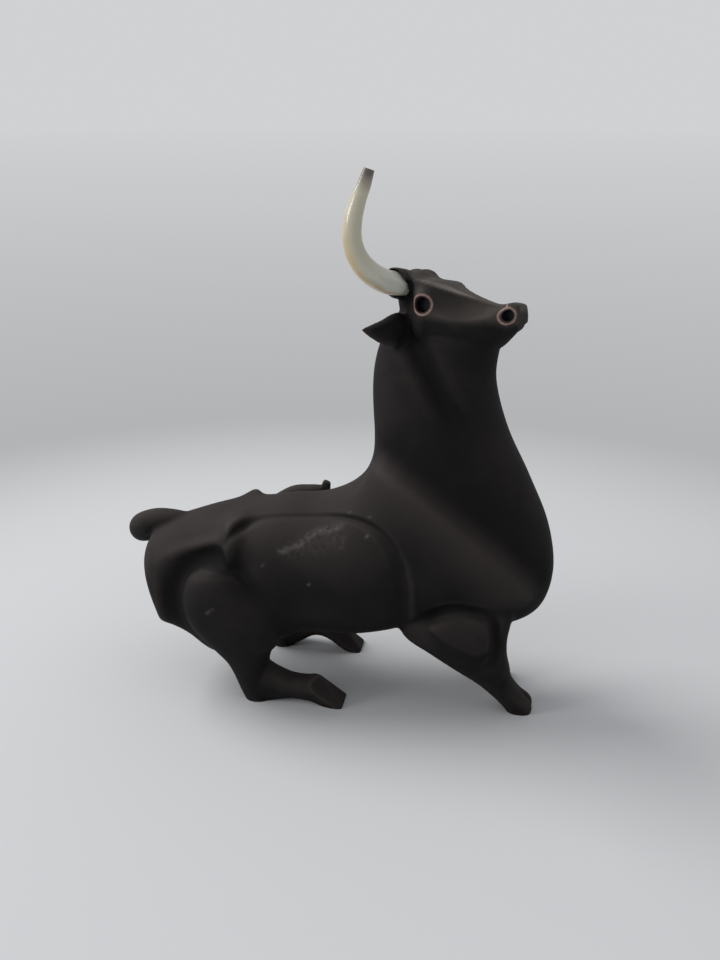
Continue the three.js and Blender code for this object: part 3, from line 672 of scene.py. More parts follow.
@dataclass(frozen=True)
class Step:
    """An edge along a line of the side view: raised behind it, hollow in front of it."""

    points: Rows
    rise: float
    drop: float
    reach: float
    slope: tuple[float, float]
    hollow: float
    ends: float = 0.14

    def at(self, x: Array, h: Array) -> Array:
        """Works out the step's height.

        Args:
            x: how far forward each place is.
            h: how high it is drawn.

        Returns:
            The height at each place, negative in the hollow.
        """
        distance, sign, share = beside(x, h, self.points)
        fade = smoothstep(np.minimum(share, 1 - share), 0.0, self.ends)
        width = self.slope[0] + (self.slope[1] - self.slope[0]) * share
        fall = (self.rise + self.drop) * bell(distance, width) - self.drop * bell(distance, self.hollow)
        return fade * np.where(sign < 0, self.rise * bell(distance, self.reach), fall)


@dataclass(frozen=True)
class Dome:
    """A raised field inside a closed outline of the side view."""

    outline: Rows
    rise: float
    edge: float

    def at(self, x: Array, h: Array) -> Array:
        """Returns the field's height at each place."""
        depth = depth_inside(x, h, self.outline)
        return self.rise * (1 - np.exp(-np.maximum(depth, 0.0) / self.edge))


def summed(parts: tuple[Stroke | Step | Dome, ...], x: Array, h: Array) -> Array:
    """Returns the height of several strokes, steps and domes together."""
    return sum(part.at(x, h) for part in parts)


class Form:
    """A closed form of clay, in millimetres."""

    def __init__(self, shape: bmesh.types.BMesh) -> None:
        """Takes a bmesh over, with its faces turned outwards."""
        bmesh.ops.recalc_face_normals(shape, faces=shape.faces)
        self.mesh = bpy.data.meshes.new("form")
        shape.to_mesh(self.mesh)
        shape.free()

    @classmethod
    def of(cls, mesh: bpy.types.Mesh) -> "Form":
        """Returns a form that holds a mesh as it is."""
        form = cls.__new__(cls)
        form.mesh = mesh
        return form

    @classmethod
    def lofted(cls, rings: Array) -> "Form":
        """Bridges rings of points into one closed form.

        Args:
            rings: points by ring and by place round it.

        Returns:
            The form, with a face at each end.
        """
        shape = bmesh.new()
        loops = []
        for ring in rings:
            circle = bmesh.ops.create_circle(shape, segments=len(ring), radius=1.0)["verts"]
            for vertex, point in zip(circle, ring):
                vertex.co = point
            loops.append(list({edge for vertex in circle for edge in vertex.link_edges}))
        for one, other in zip(loops, loops[1:]):
            bmesh.ops.bridge_loops(shape, edges=one + other)
        for loop in (loops[0], loops[-1]):
            bmesh.ops.contextual_create(shape, geom=loop)
        return cls(shape)

    @classmethod
    def bar(cls, point: Array, axis: Array, reach: tuple[float, float], radii: tuple[float, float]) -> "Form":
        """Makes a round bar.

        Args:
            point: where its axis passes.
            axis: the way that it runs.
            reach: how far along the axis it starts and ends.
            radii: its radius at the start and at the end.

        Returns:
            The bar.
        """
        shape = bmesh.new()
        along = Matrix.Translation((0, 0, sum(reach) / 2))
        middle = Matrix.Translation(Vector(point)) @ upright_to(axis) @ along
        bmesh.ops.create_cone(
            shape, cap_ends=True, segments=64, radius1=radii[0], radius2=radii[1],
            depth=reach[1] - reach[0], matrix=middle,
        )
        return cls(shape)

    @classmethod
    def joined(cls, forms: list["Form"]) -> "Form":
        """Puts several forms into one mesh, as they are.

        Args:
            forms: the forms.

        Returns:
            A form that holds them all.
        """
        shape = bmesh.new()
        for form in forms:
            shape.from_mesh(form.mesh)
        return cls(shape)

    def points(self) -> Array:
        """Returns its vertices' places."""
        return read(self.mesh.vertices, "co", float, 3)

    def normals(self) -> Array:
        """Returns its vertices' normals."""
        return read(self.mesh.vertex_normals, "vector", np.float32, 3).astype(float)

    def move(self, points: Array) -> "Form":
        """Moves its vertices, and returns the form."""
        self.mesh.vertices.foreach_set("co", points.astype(np.float32).ravel())
        self.mesh.update()
        return self

    def swell(self, heights: Array | float) -> "Form":
        """Moves each vertex along its normal by a height, and returns the form."""
        return self.move(self.points() + self.normals() * np.reshape(heights, (-1, 1)))

    def sharpened(self, rounds: int, amount: Array | float) -> "Form":
        """Lifts its edges and deepens its creases by what smoothing would take off.

        Args:
            rounds: how often the smoothing would go over it.
            amount: the share of that, for all or by vertex.

        Returns:
            The form.
        """
        held = self.points()
        lost = held - self.smoothed(rounds).points()
        return self.move(held + np.reshape(amount, (-1, 1)) * lost)

    def flattened(self, point: Point, way: Point, picked: Array) -> "Form":
        """Pares the picked vertices down to a plane.

        Args:
            point: a place on the plane.
            way: the way out of it.
            picked: whether each vertex may be pared.

        Returns:
            The form.
        """
        points = self.points()
        out = np.array(way) / np.linalg.norm(way)
        over = np.where(picked, np.maximum((points - point) @ out, 0.0), 0.0)
        return self.move(points - over[:, None] * out)

    def near(self, points: Array) -> Array:
        """Measures how far places are from the form's skin.

        Args:
            points: the places.

        Returns:
            The distance of each.
        """
        shape = bmesh.new()
        shape.from_mesh(self.mesh)
        tree = BVHTree.FromBMesh(shape)
        shape.free()
        return np.array([tree.find_nearest(Vector(point))[3] for point in points])

    def changed(self, kind: str, **settings: object) -> "Form":
        """Applies a modifier.

        Args:
            kind: the modifier's type.
            settings: its values.

        Returns:
            The form that it makes of this one.
        """
        holder = in_scene("holder", self.mesh)
        modifier = holder.modifiers.new("change", kind)
        for key, value in settings.items():
            setattr(modifier, key, value)
        held = holder.evaluated_get(bpy.context.evaluated_depsgraph_get())
        mesh = bpy.data.meshes.new_from_object(held)
        bpy.data.objects.remove(holder)
        return Form.of(mesh)

    def cut(self, operation: str, other: "Form") -> "Form":
        """Works a boolean.

        Args:
            operation: the boolean's kind.
            other: the form that this one is joined, cut or met with.

        Returns:
            What it leaves.
        """
        tool = in_scene("tool", other.mesh)
        made = self.changed("BOOLEAN", operation=operation, object=tool, solver="MANIFOLD")
        bpy.data.objects.remove(tool)
        return made

    def remeshed(self, voxel: float) -> "Form":
        """Returns one skin round everything in the mesh."""
        return self.changed("REMESH", mode="VOXEL", voxel_size=voxel, use_smooth_shade=True)

    def smoothed(self, rounds: int, strength: Array | float = 0.5) -> "Form":
        """Evens its skin out.

        Args:
            rounds: how often each vertex moves towards the middle of its neighbours.
            strength: how far it moves each time, from 0 to 1, for all or by vertex.

        Returns:
            The form.
        """
        ends = read(self.mesh.edges, "vertices", np.int32, 2)
        one, other = ends.T
        points = self.points()
        count = np.bincount(ends.ravel(), minlength=len(points))[:, None]
        share = np.reshape(strength, (-1, 1))
        for _ in range(rounds):
            total = np.stack([
                np.bincount(one, column[other], len(column)) + np.bincount(other, column[one], len(column))
                for column in points.T
            ], axis=1)
            points = points + share * (total / count - points)
        return self.move(points)


@dataclass
class Body:
    """The sculpted frame of the animal: how its neck turns, and the numbers that its limbs share."""

    turn: float = -20.0
    roll: float = 8.5
    axis_x: float = 32.0
    heights: tuple[float, float] = (114.0, 168.0)
    slant: float = 0.35
    drawn_from: float = 20.0
    rounds: int = 12

    def turned(self, points: Array) -> Array:
        """Turns the upper neck and head about the neck's upright axis, and rolls them.

        Args:
            points: places of the animal as it is modelled, which looks straight ahead.

        Returns:
            Where they are on the finished animal.
        """
        x, y, z = points.T
        share = smoothstep(z, *self.heights)
        angle = math.radians(self.turn) * share
        z = z - y * np.tan(math.radians(self.roll) * share)
        ahead = x - self.axis_x
        return np.stack([
            self.axis_x + ahead * np.cos(angle) - y * np.sin(angle),
            ahead * np.sin(angle) + y * np.cos(angle),
            z,
        ], axis=1)

    def unturned(self, points: Array) -> Array:
        """Undoes the turn of the neck.

        Args:
            points: places of the finished animal.

        Returns:
            Where they were before it.
        """
        found = points
        for _ in range(self.rounds):
            found = found - (self.turned(found) - points)
        return found

    def drawn(self, points: Array) -> tuple[Array, Array]:
        """Returns where points of the flank are drawn in the side view, as it shows from a little above."""
        x, y, z = points.T
        return x, z - self.slant * (np.abs(y) - self.drawn_from)


def between_outlines(stations: Rows, rings: int, sides: int) -> Array:
    """Lays oval sections between two outlines of the side view.

    Args:
        stations: rows of first x and z, second x and z, y, half width, and upper and lower squareness.
        rings: how many sections.
        sides: how many points in each.

    Returns:
        The points, by section and by place round it.
    """
    rows = Spline(stations).at(np.linspace(0.0, 1.0, rings))
    angle = np.linspace(0.0, 2 * math.pi, sides, endpoint=False)
    up, out = np.cos(angle), np.sin(angle)
    made = []
    for ax, az, bx, bz, side, half, upper, lower in rows:
        power = 2.0 / np.where(up > 0, upper, lower)
        along, wide = np.sign(up) * np.abs(up) ** power, np.sign(out) * np.abs(out) ** power
        made.append(np.stack([
            (ax + bx) / 2 + (ax - bx) / 2 * along,
            side + half * wide,
            (az + bz) / 2 + (az - bz) / 2 * along,
        ], axis=1))
    return np.array(made)


def along_curve(points: Rows | list[Array], radii: list[float], rings: int, sides: int) -> Array:
    """Lays round sections along a curve.

    Args:
        points: what the curve passes through.
        radii: the radius at each of them.
        rings: how many sections.
        sides: how many points in each.

    Returns:
        The points, by section and by place round it.
    """
    share = np.linspace(0.0, 1.0, rings)
    line = Spline(points).at(share)
    size = Spline([(radius,) for radius in radii]).at(share)[:, 0]
    ahead = np.gradient(line, axis=0)
    ahead /= np.linalg.norm(ahead, axis=1)[:, None]
    side = np.cross(ahead[0], (0.0, 0.0, 1.0))
    angle = np.linspace(0.0, 2 * math.pi, sides, endpoint=False)
    made = []
    for centre, way, radius in zip(line, ahead, size):
        side = side - way * np.dot(side, way)
        side = side / np.linalg.norm(side)
        up = np.cross(way, side)
        made.append(centre + radius * (np.outer(np.cos(angle), side) + np.outer(np.sin(angle), up)))
    return np.array(made)


@dataclass
class Trunk:
    """Rump, barrel, shoulders, chest and neck in one skin, with the relief of the flanks."""

    body: Body
    rings: int = 210
    sides: int = 132
    stations: Rows = field(default_factory=lambda: [
        (-101.7, 68, -101.8, 64, 0, 4, 2.2, 2.2),
        (-101.5, 73, -101.8, 56.5, 0, 18, 2.2, 2.4),
        (-99.8, 76.2, -98.8, 46.5, 0, 26, 2, 2.8),
        (-95.8, 78.8, -95, 35.6, 0, 29.2, 1.9, 3.2),
        (-93, 80.4, -93.5, 33.2, 0, 29.8, 1.85, 3.3),
        (-85.6, 83.6, -88.4, 30.9, 0, 30.4, 1.8, 3.4),
        (-73, 88, -80, 26.4, 0, 31.8, 1.9, 3.6),
        (-62, 89.6, -68, 21.4, 0, 33, 2.9, 4),
        (-56, 90.6, -60, 19.6, 0, 34, 5, 3.4),
        (-49, 91.9, -50, 23.5, 0, 31.5, 2.8, 2.8),
        (-34, 95, -30, 32, 0, 29.5, 2.5, 2.5),
        (-18, 97, -8, 33.5, 0, 29.5, 2.4, 2.4),
        (-5, 102.6, 16, 36, 0, 31, 2.3, 2.4),
        (2.8, 110.4, 42, 38.5, 0, 32, 2.2, 2.4),
        (6.6, 120, 66, 39.5, 0, 31.5, 2.2, 2.4),
        (7.5, 131, 84.5, 47.5, 0, 29.5, 2.4, 2.3),
        (7.2, 142, 91, 65.5, 0, 27.5, 2.6, 2.2),
        (7, 152, 87.9, 88, 0, 25.5, 2.7, 2.1),
        (7.6, 161, 78.4, 110.5, 0, 23.5, 2.7, 2.1),
        (9.4, 169, 67.8, 133, 0, 22, 2.6, 2.1),
        (12.4, 177, 61.8, 156, 0, 20.5, 2.5, 2.1),
        (18, 184.5, 63, 171, 0, 17.5, 2.4, 2.1),
        (26, 190, 66.4, 182, 0, 12, 2.4, 2.1),
    ])
    barrel: Dome = Dome(
        [(-56, 73), (-57.6, 78), (-55.2, 83), (-48, 90), (-37, 92.8), (-24.6, 93.7), (-10.4, 94.6),
         (0.5, 93.8), (10.5, 90), (17.8, 83), (22.2, 74), (24.2, 62), (24, 50), (22, 38), (10, 24), (-6, 20),
         (-18, 30), (-28, 43), (-40, 54.5), (-49.5, 62)],
        rise=4.8, edge=15.0,
    )
    groove: Stroke = Stroke([
        (-60, 77, 0, 3.6), (-57.6, 80.2, -1.5, 3.2), (-53, 85.6, -2, 2.6), (-46, 90.8, -1.8, 1.8),
        (-37, 93, -1.5, 1.25), (-24.6, 93.9, -1.35, 1.15), (-10.4, 94.8, -1.35, 1.15), (0.5, 94, -1.4, 1.3),
        (10.5, 90.2, -1.3, 1.7), (17.8, 83.2, -1.2, 2.2), (22.2, 74, -1.0, 2.8), (24.2, 62, -0.8, 3),
        (24, 50, -0.5, 3), (22.5, 42, 0, 3),
    ])
    fold: Stroke = Stroke([
        (14, 90, 0, 3), (21, 81, 0.4, 3), (26, 72, 0.7, 3), (28, 62, 0.9, 3.2), (28, 50, 0.8, 3.2),
        (26, 38, 0, 3),
    ])
    lap: Stroke = Stroke([
        (-60, 85, 0, 2.4), (-52, 91.4, 0.6, 2), (-42, 95, 0.6, 1.8), (-26, 96.6, 0.45, 1.6),
        (-8, 97.4, 0.35, 1.6), (4, 96, 0, 2),
    ])
    moat: Stroke = Stroke([
        (-72, 20, 0, 5), (-81, 33, -2, 6), (-84.5, 46, -2.8, 6.5), (-82.5, 58, -3.6, 7), (-75, 67.5, -4.4, 7),
        (-66, 71.5, -4.8, 7), (-59.4, 67, -3.8, 6), (-53, 58.5, -2.6, 5.4), (-45, 52, -1.4, 5),
        (-36, 47, 0, 5),
    ])
    # Painted shade only, along the barrel's lower left edge: it doesn't shape the clay.
    barrel_edge_painted_shade: Stroke = Stroke([
        (-58, 81, 0, 4), (-54.5, 76, -2.6, 4.4), (-52, 70, -3, 4.6), (-47.5, 62.5, -2.4, 5),
        (-40, 56, -1.3, 5), (-31, 51, 0, 5),
    ])
    hip: Stroke = Stroke([
        (-97, 63, 0, 5), (-89, 69, 0.8, 4), (-79, 73.8, 1.7, 3.4), (-69, 77.6, 2, 3), (-62, 79.8, 1.4, 3),
        (-57.5, 81, 0, 3),
    ])
    flank: Stroke = Stroke([
        (-50, 66, 0, 9), (-43.5, 57.5, 2.6, 10), (-38.5, 48, 4.2, 11), (-36, 38, 4.6, 11), (-37, 30, 3, 9),
        (-39, 22, 0, 8),
    ])
    shoulder: Step = Step(
        [(3, 125), (15.2, 115), (26.8, 107.4), (40.3, 96.8), (53.6, 85.8), (64.8, 75.8), (76.2, 63.7),
         (81, 55)],
        rise=3.8, drop=3.0, reach=15.0, slope=(5.0, 6.5), hollow=24.0,
    )
    throat: Stroke = Stroke([
        (27.5, 184, -3.2, 6.5), (29.5, 176, -4, 6.5), (34, 168.5, -4, 6), (39.6, 159, -3.8, 5.8),
        (44.4, 148, -3.3, 6), (47.4, 139.5, -2.4, 7), (50, 130, -1.2, 8), (53, 117, 0, 9),
    ])

    flank_from: tuple[float, float] = (6.0, 16.0)
    lines_from: tuple[float, float] = (12.0, 22.0)
    # The barrel's dome is painted lighter above these heights: painted light.
    barrel_painted_light: float = 0.35
    barrel_painted_light_above: tuple[float, float] = (45.0, 80.0)
    evened: int = 3
    bow: tuple[float, float] = (0.001, 2.5e-6)
    bow_from: tuple[float, float] = (62.0, 104.0)

    def relief(self, points: Array) -> Array:
        """Returns how far the flanks' relief stands out at each point."""
        parts = (self.barrel, self.moat, self.flank, self.shoulder, self.throat)
        return summed(parts, *self.body.drawn(points)) * smoothstep(np.abs(points[:, 1]), *self.flank_from)

    def tone(self, points: Array) -> Array:
        """Works out where light and shade are painted on the flanks' slip.

        Args:
            points: places of the animal's skin.

        Returns:
            How much painted light there is on the lines that stand out and on the barrel's upper dome, or
            painted shade in the hollow ones if negative.
        """
        x, h = self.body.drawn(points)
        strokes = (self.moat, self.barrel_edge_painted_shade, self.shoulder, self.throat, self.groove, self.hip)
        # Painted light on the barrel's upper dome, and painted light and shade along the moat, shoulder,
        # throat, groove and hip.
        barrel = self.barrel_painted_light * self.barrel.at(x, h) * smoothstep(h, *self.barrel_painted_light_above)
        return (barrel + summed(strokes, x, h)) * smoothstep(np.abs(points[:, 1]), *self.flank_from)

    def carve(self, points: Array) -> Array:
        """Returns how far the crisp lines of the flanks stand out at each point of the animal's skin."""
        parts = (self.groove, self.lap, self.fold, self.hip)
        return summed(parts, *self.body.drawn(points)) * smoothstep(np.abs(points[:, 1]), *self.lines_from)

    def form(self) -> Form:
        """Returns the sculpted trunk, with its rump rounded as seen from above."""
        form = Form.lofted(between_outlines(self.stations, self.rings, self.sides))
        form.swell(self.relief(form.points())).smoothed(self.evened)
        points = form.points()
        bow = self.bow[0] * points[:, 1] ** 2 + self.bow[1] * points[:, 1] ** 4
        points[:, 0] += bow * smoothstep(-points[:, 0], *self.bow_from)
        return form.move(self.body.turned(points))


@dataclass
class Foreleg:
    """A foreleg, braced forwards, from the shoulder to the hoof."""

    side: int
    back_by: float = 0.0
    rings: int = 90
    sides: int = 64
    stations: Rows = field(default_factory=lambda: [
        (22, 50, 77, 66, -15, 7, 2.2, 2.2),
        (20, 43.5, 75.6, 57, -16, 11.5, 2.2, 2.2),
        (24, 36.2, 73.4, 47.4, -16.5, 14.2, 2.2, 2.2),
        (34, 30.2, 71.7, 37.5, -16.5, 14.2, 2.2, 2.2),
        (46, 22.4, 71.8, 29.4, -16.5, 12, 2.2, 2.2),
        (57, 15, 73.3, 22.4, -16, 9, 2.2, 2.2),
        (63.4, 9.3, 74.4, 16.6, -15.2, 7.4, 2.2, 2.2),
        (68.2, 4.5, 78.8, 10, -14.4, 7.2, 2.2, 2.6),
        (71.6, 0.6, 83.8, 5, -13.8, 7.4, 2.4, 3.4),
        (73.5, -3, 84.6, 1, -13.6, 7.4, 2.4, 3.4),
        (73, -7, 83, -4, -13.6, 6.6, 2.2, 2.2),
    ])
    elbow: Dome = Dome(
        [(35.4, 42), (38, 47.6), (43, 51), (49.6, 52), (57, 50.6), (62.6, 46), (64.2, 39), (63.2, 32.6),
         (58, 30), (50, 32.4), (41, 36.8)],
        rise=2.0, edge=3.0,
    )
    groove: Stroke = Stroke([
        (29, 44, 0, 3), (33, 46.4, -1.1, 3), (37.5, 48.8, -2.2, 3), (41.6, 51, -2.5, 2.8),
        (47.6, 53, -2.1, 2.5), (53.6, 53, -1.7, 2.4), (60, 51.6, -1.7, 2.4), (65, 48.6, -1.8, 2.4),
        (66.6, 42.3, -2, 2.4), (67, 35.4, -2, 2.4), (66, 28.5, -1.3, 2.4), (64, 23, 0, 2.4),
    ])

    cleft_at: float = 13.8
    cleft_size: float = 1.1
    toes_from: tuple[float, float] = (76.0, 80.0)
    toes_up_to: tuple[float, float] = (7.0, 11.0)
    outer_from: tuple[float, float] = (8.0, 18.0)
    outer_lean: tuple[float, float] = (0.1, 0.5)

    def form(self) -> Form:
        """Returns the leg, with its lower end below the floor."""
        rings = between_outlines(self.stations, self.rings, self.sides)
        return Form.lofted(rings * (1, -self.side, 1) - (self.back_by, 0, 0))

    def carve(self, body: Body, points: Array, normals: Array) -> Array:
        """Shapes the elbow and the cleft between the toes.

        Args:
            body: the animal's frame.
            points: places of its skin.
            normals: the ways that the skin faces there.

        Returns:
            How far they stand out at each place.
        """
        x, y, z = points.T
        ahead, out = x + self.back_by, y * self.side
        outer = smoothstep(out, *self.outer_from) * smoothstep(normals[:, 1] * self.side, *self.outer_lean)
        toes = smoothstep(ahead, *self.toes_from) * (1 - smoothstep(z, *self.toes_up_to))
        cleft = -self.cleft_size * toes * bell(np.abs(y) - self.cleft_at, self.cleft_size) * (out > 0)
        return summed((self.elbow, self.groove), ahead, body.drawn(points)[1]) * outer + cleft


@dataclass
class HindLeg:
    """A folded hind leg: thigh and shank down to the hock, and the foot lying forwards from it."""

    side: int
    splay: float = 0.0
    arch: float = 0.0
    rings: int = 90
    thigh_sides: int = 64
    foot_sides: int = 56
    thigh: Rows = field(default_factory=lambda: [
        (-69, 69, -56, 69.5, -28, 5, 2.2, 2.2),
        (-75.5, 64.5, -47.5, 66.5, -28, 8.6, 2.2, 2.2),
        (-79, 57, -40, 58.5, -27.5, 11, 2.2, 2.2),
        (-79.5, 47.5, -35, 49, -27, 12, 2.2, 2.2),
        (-75, 37.5, -33, 40, -26.5, 12, 2.2, 2.2),
        (-68, 29, -34, 32.5, -25.5, 11, 2.2, 2.2),
        (-60.5, 20, -38.6, 26, -24, 9.4, 2.2, 2.2),
        (-57, 11.5, -40.4, 18.5, -22.5, 8.2, 2.2, 2.2),
        (-54.6, 4, -40, 10, -21.5, 7.6, 2.2, 2.2),
        (-51, -3, -40, -3, -21.5, 6.8, 2.2, 2.2),
    ])
    foot: Rows = field(default_factory=lambda: [
        (-51.5, 12, -50.5, -2, -21.5, 6.6, 2.2, 2.2),
        (-44, 19.4, -44, -2.5, -21.5, 7.4, 2.2, 2.2),
        (-37, 16, -36, -0.4, -21.5, 7.2, 2.2, 2.2),
        (-30, 12.9, -28.5, 1.1, -21.5, 6.9, 2.2, 2.2),
        (-22, 12.3, -20, 0.4, -21.5, 7, 2.2, 2.4),
        (-14.8, 13.6, -12.5, -2, -21.5, 7.6, 2.6, 3.2),
        (-9, 12, -8, -3, -21.5, 7.8, 3.4, 4),
        (-5, 9, -4.8, -3, -21.5, 7.8, 3.6, 4),
        (-4.2, 4, -4.3, -3, -21.5, 7.4, 3.6, 4),
    ])
    top_corner: Point = (-14.9, -21.6, 13.2)
    facets: tuple[Point, ...] = ((0.74, 0.0, 0.67), (0.39, -0.65, 0.65), (0.39, 0.65, 0.65))
    hoof_reach: tuple[float, float] = (-23.0, 0.0)
    hoof_top: float = 16.0
    hoof_half: float = 12.0
    splay_from: tuple[float, float] = (8.0, 55.0)
    arch_at: float = -27.0
    arch_half: float = 11.0
    arch_up_to: tuple[float, float] = (5.0, 12.0)

    def placed(self, rings: Array) -> Array:
        """Moves rings of the right leg to this one's side, splayed below the hip."""
        out = rings[..., 1] - self.splay * (1 - smoothstep(rings[..., 2], *self.splay_from))
        return np.stack([rings[..., 0], -self.side * out, rings[..., 2]], axis=-1)

    def pare(self, skin: Form) -> None:
        """Cuts the hoof's flat faces.

        Args:
            skin: the animal's skin.
        """
        x, y, z = skin.points().T
        middle = self.side * (self.splay - self.top_corner[1])
        picked = (x > self.hoof_reach[0]) & (x < self.hoof_reach[1]) & (z < self.hoof_top)
        picked &= np.abs(y - middle) < self.hoof_half
        for way in self.facets:
            skin.flattened((self.top_corner[0], middle, self.top_corner[2]), way, picked)

    def form(self) -> Form:
        """Returns the leg, with its soles below the floor."""
        thigh = between_outlines(self.thigh, self.rings, self.thigh_sides)
        foot = between_outlines(self.foot, self.rings, self.foot_sides)
        low = 1 - smoothstep(foot[..., 2], *self.arch_up_to)
        foot[..., 2] += self.arch * bell(foot[..., 0] - self.arch_at, self.arch_half) * low
        return Form.joined([Form.lofted(self.placed(rings)) for rings in (thigh, foot)])


@dataclass
class Head:
    """The head, from the poll to the muzzle, with its collars, sockets, eyes and nostrils."""

    body: Body
    stations: Rows = field(default_factory=lambda: [
        # x, crown, then half width and height of the ridge, the flank, the cheek crease and the jaw
        (17.5, 199.6, 7, 199, 7.5, 196, 5.5, 192.5, 3.4, 190),
        (20.4, 202.2, 9.5, 200.6, 11.4, 195, 9, 188, 5, 181),
        (24, 203.6, 11.5, 201.2, 13.2, 194, 12, 186, 8, 174),
        (27.6, 203, 14, 200.4, 13.4, 193, 13.4, 184, 10, 169.5),
        (30.8, 200.8, 17.8, 198.9, 17.2, 192.5, 17.4, 184, 11.5, 168),
        (34.4, 200, 18.3, 198.8, 19.2, 191.5, 19.2, 184.5, 12, 167.5),
        (38, 198.8, 17.6, 197.9, 18.2, 190.5, 19, 185.2, 12, 167),
        (42, 196.6, 13.7, 196.2, 15, 189.5, 18.6, 185, 12, 167),
        (46.5, 195.1, 9.8, 194.8, 11.6, 188.6, 18, 184.5, 11, 168),
        (52, 193.6, 6.8, 193.3, 9.2, 188, 16.8, 184, 10, 169.5),
        (59, 191.9, 5, 191.6, 7.8, 187.8, 14.2, 184.8, 8.5, 172),
        (65, 191.6, 4.4, 190.9, 8.4, 189.4, 11.6, 186.4, 6.6, 175.4),
        (69.6, 192.7, 5.6, 192.4, 9.8, 188.8, 9.8, 184, 5, 180.1),
        (71.8, 192.8, 5.2, 192.4, 8.8, 188.4, 8.4, 184.2, 4.6, 182.6),
        (73.4, 192.4, 5, 192, 8, 188.2, 7.6, 184.5, 4.2, 183.6),
        (74, 191.4, 4.4, 191.1, 6.8, 188, 6.4, 184.9, 3.8, 184.3),
    ])
    temple: Stroke = Stroke([
        (29, 199.5, 0, 2), (28.2, 196, -1.6, 2.2), (27.4, 192, -2.4, 2.6), (27.2, 188, -2.4, 3),
        (27.5, 184, -1.4, 3), (28, 179, 0, 3),
    ])
    brow: Stroke = Stroke([
        (33, 198.8, 0, 0.8), (36, 198.6, 0.4, 0.8), (41.6, 196.8, 0.45, 0.8), (46.3, 195.3, 0.45, 0.8),
        (51.6, 193.8, 0.35, 0.8), (58.5, 192, 0.2, 0.8), (64, 191.2, 0, 0.8),
    ])
    rings: int = 113
    ridge_points: int = 9
    bend_points: int = 13
    chin_drop: float = 2.4
    relief_from: tuple[float, float] = (2.0, 4.0)
    relief_above: tuple[float, float] = (176.0, 180.0)
    # From brow_shine to the crown's rows: a painted highlight along the brow's edge and painted light on the
    # facet, crown and cheeks, partly worn slip.
    brow_shine: tuple[float, float] = (0.18, 0.42)
    edge_pale: float = 0.8
    facet_pale: float = 0.4
    crown_pale: float = 0.26
    cheek_pale: float = 0.14
    facet: Point = (34.6, 194.4, 2.4)
    crown: Rows = field(default_factory=lambda: [
        # x, then half width and height of the crown's edge
        (28, 14, 200.4), (36, 18, 198.6), (42, 13, 196.3), (46.5, 9, 194.9), (52, 6, 193.4), (59, 4.6, 191.7),
        (66, 4, 190.9),
    ])
    collar_profile: tuple[tuple[float, float], ...] = (
        (0, 1), (0.6, 0.96), (0.95, 0.8), (1.06, 0.5), (1.05, 0.2), (1.02, 0.05), (0.97, 0), (0, 0),
    )
    lip: tuple[float, float] = (0.9, 3.4)
    least_lip: float = -1.2
    bare_lip: float = -1.0
    lip_depth: float = 7.0
    lip_way: Point = (0.55, 0.0, 0.83)
    socket_at: Point = (22.25, 17.0, 196.92)
    socket_tilt: float = 4.0
    collar_radius: float = 6.3
    collar_reach: float = 16.0
    root_radius: float = 5.2
    root_clearance: float = 0.3
    mouth_depth: float = 6.5
    peg_radius: float = 2.6
    peg_length: float = 7.0
    peg_clearance: float = 0.08
    eye_at: Point = (35.9, 18.8, 188.92)
    eye_radius: float = 3.4
    nostril_at: Point = (70.6, 9.8, 187.45)
    nostril_radius: float = 2.7
    cup_depth: float = 3.4
    cup_taper: tuple[float, float] = (0.74, 1.2)
    tick: tuple[Point, ...] = ((69.9, 7.9, 190.5), (69.5, 7.3, 190.9), (69.2, 6.7, 191.2), (69, 6.1, 191.6))

    def ring(self, station: Array) -> Array:
        """Draws a whole section of the head.

        Args:
            station: the numbers of one of the stations, or between two.

        Returns:
            The section's points, from the crown round the jaw and back.
        """
        x, crown, *pairs = station
        ridge, flank, cheek, jaw = np.reshape(pairs, (4, 2))
        t = np.linspace(0.0, 1.0, self.bend_points)[:, None]

        def bend(start: Array, pull: Array, end: Array) -> Array:
            """Returns points of a bend from start to end, without its start."""
            return ((1 - t) ** 2 * start + 2 * t * (1 - t) * pull + t**2 * end)[1:]

        top = np.array((0.0, crown))
        low = np.array((0.0, jaw[1] - self.chin_drop))
        half = np.vstack([
            top + (ridge - top) * np.linspace(0.0, 1.0, self.ridge_points)[:, None],
            bend(ridge, flank, cheek),
            bend(cheek, np.array((cheek[0] * 1.04, (cheek[1] + jaw[1]) / 2)), jaw),
            bend(jaw, np.array((jaw[0] * 0.6, jaw[1] - 2)), low),
        ])
        whole = np.vstack([half, half[-2:0:-1] * (-1, 1)])
        return np.column_stack([np.full(len(whole), x), whole])

    def form(self) -> Form:
        """Returns the head with the clay collars of both horns."""
        rows = Spline(self.stations).at(np.linspace(0.0, 1.0, self.rings))
        skull = Form.lofted(np.array([self.ring(row) for row in rows]))
        skull.move(self.body.turned(skull.points()))
        return Form.joined([skull, self.collar(-1), self.collar(1)])

    def carve(self, plain: Array) -> Array:
        """Returns how far the crisp lines of the face stand out at each point of the unturned skin."""
        x, y, z = plain.T
        fade = smoothstep(np.abs(y), *self.relief_from) * smoothstep(z, *self.relief_above)
        return summed((self.temple, self.brow), x, z) * fade

